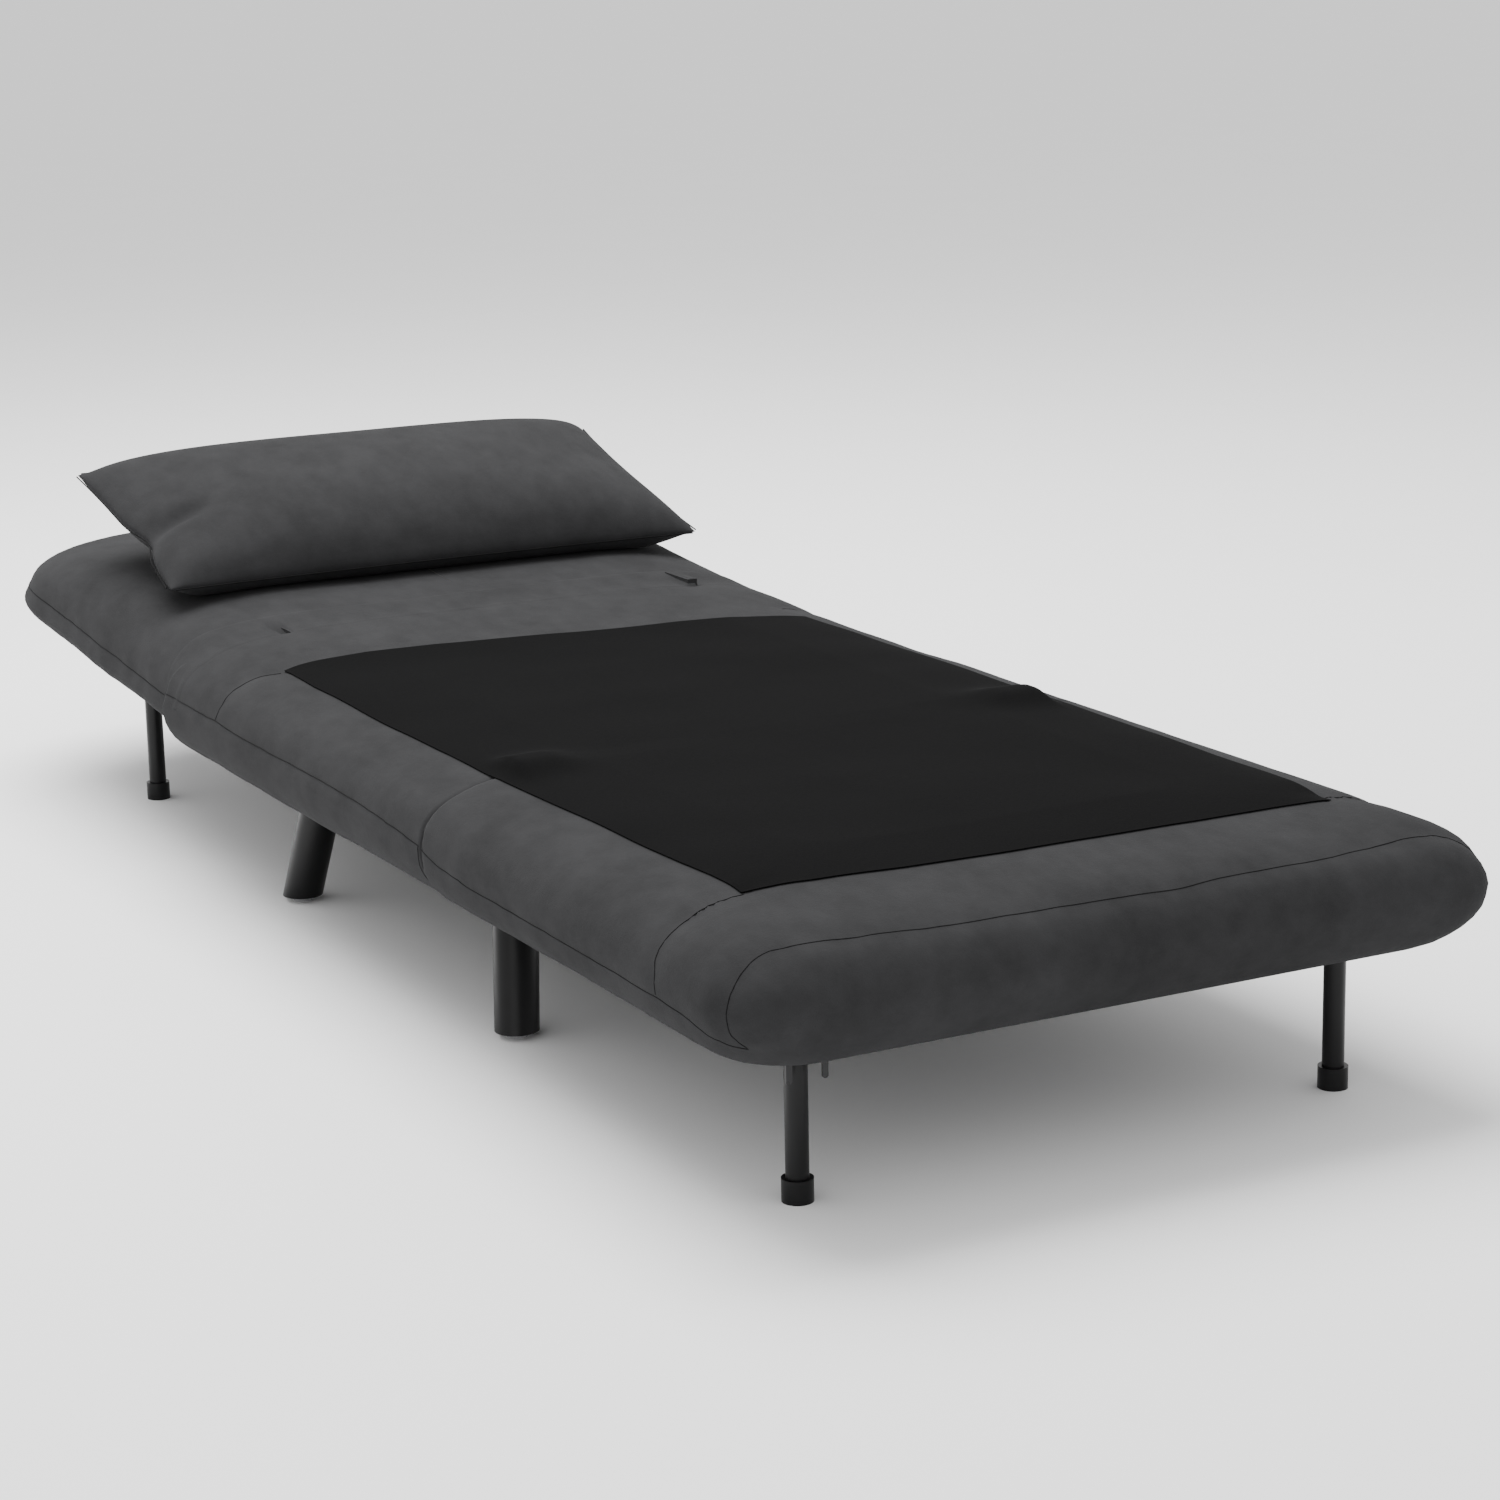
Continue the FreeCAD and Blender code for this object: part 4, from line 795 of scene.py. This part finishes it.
# Pieces
class CHAIRBED_OT_covers(bpy.types.Operator):
    """Make the upholstery covers of the seat, front and back panels"""

    bl_idname = "chairbed.covers"
    bl_label = "Covers"

    def execute(self, context):
        for piece, fill in ((seat_cover(), 0.75), (front_cover(), 0.75), (back_cover(), 0.7)):
            dress(piece, cloth_finish())
        return {"FINISHED"}


class CHAIRBED_OT_seams(bpy.types.Operator):
    """Lay thin dark tubes along the seams of the covers, as painted shade in their creases"""

    bl_idname = "chairbed.seams"
    bl_label = "Seams"

    def execute(self, context):
        tree = seam_tree()
        width = context.scene.chair_bed.hardware.seam
        for cover, body in (("seat_cover", "seat_frame"), ("front_cover", "front_panel"),
                            ("back_cover", "back_panel")):
            lines = settle(found(cover), SEAMS[cover])
            # Each piece is a dark tube of painted shade along a seam.
            name = cover.replace("cover", "seams")
            piece = nodes_piece(name, line_mesh(name, lines), tree,
                                {"Thickness": width, "Spacing": mm(3), "Material": painted_seam_shade()})
            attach(piece, body)
        return {"FINISHED"}


class CHAIRBED_OT_crease(bpy.types.Operator):
    """Bridge the recline crease with a strip of the covers' cloth"""

    bl_idname = "chairbed.crease"
    bl_label = "Crease cloth"

    def execute(self, context):
        seat = found("seat_cover")
        back = found("back_cover")
        view = context.evaluated_depsgraph_get()
        trees = [BVHTree.FromObject(piece, view) for piece in (seat, back)]
        curve = smooth_curve(SHOULDER)
        share = np.r_[np.linspace(0.06, 0.9, 40), np.linspace(0.91, 1, 24)]
        side = np.c_[HALF_WIDTH - mm(1) * curve(share), WIDEST + share * (CROWN - WIDEST)]
        across = np.vstack([side * (-1, 1), np.c_[np.linspace(-mm(100), mm(100), 30), np.full(30, CROWN)],
                            (side)[::-1]])
        slope = np.gradient(across, axis=0)
        out = np.c_[-slope[:, 1], slope[:, 0]]
        out /= np.linalg.norm(out, axis=1)[:, None]
        rows = np.linspace(mm(246), mm(336), 37)
        low, high = mm(262), mm(326)

        def surface(x, z, nx, nz, y):
            tree = trees[0] if y <= low + 1e-6 else trees[1]
            hit = tree.ray_cast(Vector((x + 0.03 * nx, y, z + 0.03 * nz)), Vector((-nx, 0, -nz)), 0.09)[0]
            return hit if hit is not None else Vector((x, y, z))

        points = []
        for (x, z), (nx, nz) in zip(across, out):
            first = surface(x, z, nx, nz, low)
            last = surface(x, z, nx, nz, high)
            for y in rows:
                if y <= low or y >= high:
                    spot = surface(x, z, nx, nz, y)
                else:
                    share = (y - low) / (high - low)
                    spot = first.lerp(last, share * share * (3 - 2 * share))
                edge = min(y - rows[0], rows[-1] - y) / mm(14)
                lift = mm(-0.9) + mm(1.3) * min(1.0, edge)
                points.append((spot.x + lift * nx, y, spot.z + lift * nz))
        count = len(rows)
        faces = [(a * count + b, a * count + b + 1, (a + 1) * count + b + 1, (a + 1) * count + b)
                 for a in range(len(across) - 1) for b in range(count - 1)]
        mesh = bpy.data.meshes.new("crease_cloth")
        mesh.from_pydata(points, [], faces)
        piece = bpy.data.objects.new("crease_cloth", mesh)
        context.scene.collection.objects.link(piece)
        tidy(mesh)
        thick = piece.modifiers.new("thickness", "SOLIDIFY")
        thick.thickness = mm(0.8)
        thick.offset = -1
        baked(piece)
        dress(piece, cloth_finish())
        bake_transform(piece)
        return {"FINISHED"}


class CHAIRBED_OT_deck(bpy.types.Operator):
    """Lay the black deck cloth over the seat and front panels"""

    bl_idname = "chairbed.deck"
    bl_label = "Deck cloth"

    def execute(self, context):
        look = context.scene.chair_bed.deck
        view = context.evaluated_depsgraph_get()
        trees = [BVHTree.FromObject(found(name), view) for name in ("seat_cover", "front_cover")]
        count_x, count_y = 120, 200
        share_x = np.linspace(-1, 1, count_x)
        share_y = np.linspace(0, 1, count_y)
        side = np.interp(share_y, (0, 0.1, 0.45, 0.9, 1), (0.965, 0.985, 1.012, 1.005, 0.99)) * look.half
        front = mm(1) * np.interp(share_x, *np.transpose(DECK_FRONT))
        rear = mm(1) * np.interp(share_x, *np.transpose(DECK_REAR))
        xs = share_x[:, None] * side[None, :]
        ys = front[:, None] + share_y[None, :] * (rear - front)[:, None]
        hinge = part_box("flip_hinge_pins")
        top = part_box("flip_hinge_seat_leaves")[1].z
        reach = hinge[1].x - mm(16)
        grid = np.zeros((count_x, count_y))
        for a in range(count_x):
            for b in range(count_y):
                above = Vector((xs[a, b], ys[a, b], 0.4))
                hits = [tree.ray_cast(above, Vector((0, 0, -1)))[0] for tree in trees]
                grid[a, b] = max((hit.z for hit in hits if hit is not None), default=CROWN)
            near = np.abs(ys[a] - FRONT_CREASE) < mm(16)
            grid[a, near] = np.interp(ys[a, near], ys[a, ~near], grid[a, ~near])
        over = np.maximum(0, top + mm(0.6) - grid)
        beyond = np.abs(xs) - reach
        fade = np.where(beyond > 0, mm(8), mm(30))
        bump_x = np.exp(-(np.maximum(np.abs(beyond) - mm(15), 0) / fade) ** 2)
        bump_y = np.exp(-(np.maximum(np.abs(ys - FRONT_CREASE) - mm(5), 0) / mm(30)) ** 2)
        grid += over * bump_x * bump_y
        grid += mm(0.7)
        points = np.stack([xs, ys, grid], 2).reshape(-1, 3).tolist()
        count = count_y
        faces = [(a * count + b, (a + 1) * count + b, (a + 1) * count + b + 1, a * count + b + 1)
                 for a in range(count_x - 1) for b in range(count - 1)]
        mesh = bpy.data.meshes.new("deck_cloth")
        mesh.from_pydata(points, [], faces)
        piece = bpy.data.objects.new("deck_cloth", mesh)
        context.scene.collection.objects.link(piece)
        thick = piece.modifiers.new("thickness", "SOLIDIFY")
        thick.thickness = look.thickness
        thick.offset = 1
        baked(piece)
        tidy(piece.data)
        piece.data.set_sharp_from_angle(angle=math.radians(60))
        dress(piece, shared("black_nonwoven_cloth", nonwoven, look))
        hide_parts("seat_deck_cloth", "front_deck_cloth")
        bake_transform(piece)
        return {"FINISHED"}


class CHAIRBED_OT_pillow(bpy.types.Operator):
    """Inflate the loose pillow and lay it on the back panel"""

    bl_idname = "chairbed.pillow"
    bl_label = "Pillow"

    def execute(self, context):
        look = context.scene.chair_bed.pillow
        long_half, wide_half, full = mm(320), mm(160), mm(66)
        across, along = 78, 42
        xs = np.linspace(-mm(326), mm(326), across)
        ys = np.linspace(-mm(178), mm(178), along)
        points, faces = [], []
        index = {}
        for layer in (-1, 1):
            for a in range(across):
                for b in range(along):
                    edge = a in (0, across - 1) or b in (0, along - 1)
                    if edge and layer == 1:
                        index[(layer, a, b)] = index[(-1, a, b)]
                        continue
                    index[(layer, a, b)] = len(points)
                    u, v = xs[a] / xs[-1], ys[b] / ys[-1]
                    rise = 0.0
                    if not edge:
                        rise = layer * mm(30) * ((1 - u ** 4) * (1 - v ** 4)) ** 0.5 + layer * mm(0.5)
                    pinch = mm(12) * math.exp(-((v + 0.25) / 0.2) ** 2) if u < 0 else 0.0
                    x = xs[a] - abs(u) * u * (mm(8) * (1 - v * v) + pinch)
                    points.append((x, ys[b] - abs(v) * v * mm(5) * (1 - u * u), rise))
        for layer in (-1, 1):
            for a in range(across - 1):
                for b in range(along - 1):
                    quad = [index[(layer, a, b)], index[(layer, a + 1, b)], index[(layer, a + 1, b + 1)],
                            index[(layer, a, b + 1)]]
                    faces.append(quad if layer == 1 else quad[::-1])
        mesh = bpy.data.meshes.new("pillow_cover")
        mesh.from_pydata(points, [], faces)
        piece = bpy.data.objects.new("pillow_cover", mesh)
        context.scene.collection.objects.link(piece)
        rim = [index[(-1, a, b)] for a in range(across) for b in range(along)
               if a in (0, across - 1) or b in (0, along - 1)]
        held = piece.vertex_groups.new(name="held")
        held.add(rim, 1.0, "REPLACE")
        cloth = piece.modifiers.new("inflate", "CLOTH")
        cloth.settings.vertex_group_mass = "held"
        cloth.settings.quality = 6
        cloth.settings.mass = 0.3
        cloth.settings.tension_stiffness = 25
        cloth.settings.compression_stiffness = 25
        cloth.settings.shear_stiffness = 8
        cloth.settings.bending_stiffness = 6
        cloth.settings.air_damping = 3
        cloth.settings.use_pressure = True
        cloth.settings.uniform_pressure_force = look.pressure
        cloth.settings.effector_weights.gravity = 0
        cloth.collision_settings.use_collision = False
        cloth.collision_settings.use_self_collision = False
        cloth.point_cache.frame_start = 1
        cloth.point_cache.frame_end = look.steps
        for number in range(1, look.steps + 1):
            context.scene.frame_set(number)
        baked(piece)
        context.scene.frame_set(1)
        mesh = piece.data
        shape = coordinates(mesh)
        shape = evened(mesh, shape, rim, 4)
        corner = shape[index[(-1, across - 1, along - 1)]] - shape[index[(-1, 0, 0)]]
        shape -= (shape[index[(-1, across - 1, along - 1)]] + shape[index[(-1, 0, 0)]]) / 2
        shape[:, 0] *= 2 * long_half / corner[0]
        shape[:, 1] *= 2 * wide_half / corner[1]
        height = np.abs(shape[:, 2]) / np.abs(shape[:, 2]).max()
        shape[:, 2] = np.sign(shape[:, 2]) * full * height ** 0.95
        fold = np.exp(-((shape[:, 1] / wide_half + 0.25) / 0.09) ** 2)
        fold *= np.clip((-shape[:, 0] - 0.72 * long_half) / (0.28 * long_half), 0, 1) ** 0.8
        shape[:, 2] *= 1 - 0.6 * fold
        centre = np.array((mm(6), REAR_CREASE + mm(252), UNDERSIDE + mm(195)))
        tilt = math.radians(15.6)
        turn = np.array([(1, 0, 0), (0, math.cos(tilt), -math.sin(tilt)),
                         (0, math.sin(tilt), math.cos(tilt))])
        placed = shape @ turn.T + centre
        tree = BVHTree.FromObject(found("back_cover"), context.evaluated_depsgraph_get())
        for number, point in enumerate(placed):
            hit = tree.ray_cast(Vector((point[0], point[1], 0.6)), Vector((0, 0, -1)))[0]
            if hit is not None and point[2] < hit.z + mm(0.6):
                placed[number, 2] = hit.z + mm(0.6)
        place(mesh, placed)
        for face in mesh.polygons:
            face.use_smooth = True
        sides = [[index[(-1, a, b)] for a in range(1, across - 1)] for b in (0, along - 1)]
        sides += [[index[(-1, a, b)] for b in range(1, along - 1)] for a in (0, across - 1)]
        rim_lines = [placed[side] for side in sides]
        finer = piece.modifiers.new("finer", "SUBSURF")
        finer.levels = 1
        finer.render_levels = 1
        baked(piece)
        dress(piece, cloth_finish())
        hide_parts("pillow")
        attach(piece, "pillow")
        # A dark tube along the pillow's rim: painted shade in its seam.
        seam = nodes_piece("pillow_seam_shade", line_mesh("pillow_seam_shade", rim_lines), seam_tree(),
                           {"Thickness": mm(1.6), "Spacing": mm(3), "Material": painted_seam_shade()})
        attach(seam, "pillow")
        return {"FINISHED"}


class CHAIRBED_OT_hardware(bpy.types.Operator):
    """Give the steel, plastic, plywood and zip their finishes"""

    bl_idname = "chairbed.hardware"
    bl_label = "Hardware"

    def execute(self, context):
        look = context.scene.chair_bed.hardware
        finishes = {
            "black_steel": enamel("powder_coat", look.steel, 0.36),
            "black_plastic": enamel("moulded_black", look.plastic, 0.34, 0.8),
            "zinc_steel": zinc("zinc_plate", (0.55, 0.55, 0.56)),
            "beech_ply": plywood("beech_ply", (0.55, 0.37, 0.21)),
            "clear_glide": enamel("glide_nylon", (0.32, 0.32, 0.33), 0.3),
            "zip_tape": webbing("zip_webbing", (0.012, 0.012, 0.013)),
            "black_nonwoven": shared("black_nonwoven_cloth", nonwoven, context.scene.chair_bed.deck),
            "charcoal_cloth": cloth_finish(),
        }
        slots = {row["node"]: row["material_slot"] for row in frame["record"]["subparts"]}
        for name, node in NODES.items():
            dress(node, finishes[slots[name]])
        for name in ("zip_slider_inner", "zip_slider_outer", "zip_pull_inner", "zip_pull_outer"):
            dress(NODES[name], shared("black_zip", enamel, (0.02, 0.02, 0.021), 0.3))
        return {"FINISHED"}


class CHAIRBED_OT_stage(bpy.types.Operator):
    """Set the floor, the lights and the camera"""

    bl_idname = "chairbed.stage"
    bl_label = "Stage"

    def execute(self, context):
        look = context.scene.chair_bed.stage
        floor = bpy.data.meshes.new("floor")
        floor.from_pydata([(-60, -60, 0), (60, -60, 0), (60, 60, 0), (-60, 60, 0)], [], [(0, 1, 2, 3)])
        ground = bpy.data.objects.new("floor", floor)
        context.scene.collection.objects.link(ground)
        paint = Paint("pale_floor")
        grain = paint.noise(paint.place(), 3.0, 2.0)
        shade = paint.mix(grain, (0.93, 0.93, 0.93, 1), (0.95, 0.95, 0.95, 1))
        dress(ground, paint.set(Base_Color=shade, Roughness=0.9, Specular_IOR_Level=0.1))
        world = bpy.data.worlds.new("studio")
        context.scene.world = world
        world.use_nodes = True
        world.node_tree.nodes["Background"].inputs["Color"].default_value = (1, 1, 1, 1)
        world.node_tree.nodes["Background"].inputs["Strength"].default_value = look.sky
        for name, spot, aim, size, power in (
            ("overhead", (-0.3, 1.2, 3.6), (0, 0, 0.2), 3.4, look.light),
            ("front", (-2.6, -3.4, 2.2), (0, -0.4, 0.2), 2.4, look.light * 0.05),
        ):
            lamp = bpy.data.lights.new(name, "AREA")
            lamp.shape = "SQUARE"
            lamp.size = size
            lamp.energy = power
            lantern = bpy.data.objects.new(name, lamp)
            context.scene.collection.objects.link(lantern)
            lantern.location = spot
            lantern.rotation_euler = (Vector(aim) - Vector(spot)).to_track_quat("-Z", "Y").to_euler()
        lens = bpy.data.cameras.new("camera")
        lens.lens = 84.17
        lens.sensor_width = 36
        lens.clip_end = 200
        viewer = bpy.data.objects.new("camera", lens)
        context.scene.collection.objects.link(viewer)
        right = Vector((0.8802, -0.4744, -0.0192)).normalized()
        ahead = Vector((0.4575, 0.8582, -0.2329)).normalized()
        up = right.cross(ahead).normalized()
        right = ahead.cross(up)
        turn = Matrix((right, up, -ahead)).transposed().to_4x4()
        viewer.matrix_world = Matrix.Translation((-1.503, -3.138, 0.982)) @ turn
        context.scene.camera = viewer
        return {"FINISHED"}


class CHAIRBED_PT_panel(bpy.types.Panel):
    bl_idname = "CHAIRBED_PT_panel"
    bl_label = "Chair bed"
    bl_space_type = "VIEW_3D"
    bl_region_type = "UI"
    bl_category = "Chair bed"

    def draw(self, context):
        for name in STEPS:
            self.layout.operator("chairbed." + name)
        settings = context.scene.chair_bed
        for group in (settings.velour, settings.deck, settings.hardware, settings.pillow, settings.stage):
            for key in group.bl_rna.properties.keys():
                if key not in ("rna_type", "name"):
                    self.layout.prop(group, key)


STEPS = ("covers", "seams", "crease", "deck", "pillow", "hardware", "stage")
CLASSES = (VelourSettings, DeckSettings, HardwareSettings, PillowSettings, StageSettings, ChairBedSettings,
           CHAIRBED_OT_covers, CHAIRBED_OT_seams, CHAIRBED_OT_crease, CHAIRBED_OT_deck, CHAIRBED_OT_pillow,
           CHAIRBED_OT_hardware, CHAIRBED_OT_stage, CHAIRBED_PT_panel)


def register():
    for kind in CLASSES:
        bpy.utils.register_class(kind)
    bpy.types.Scene.chair_bed = PointerProperty(type=ChairBedSettings)


def unregister():
    del bpy.types.Scene.chair_bed
    for kind in reversed(CLASSES):
        bpy.utils.unregister_class(kind)


def main():
    register()
    for name in STEPS:
        getattr(bpy.ops.chairbed, name)()


if __name__ == "__main__":
    main()
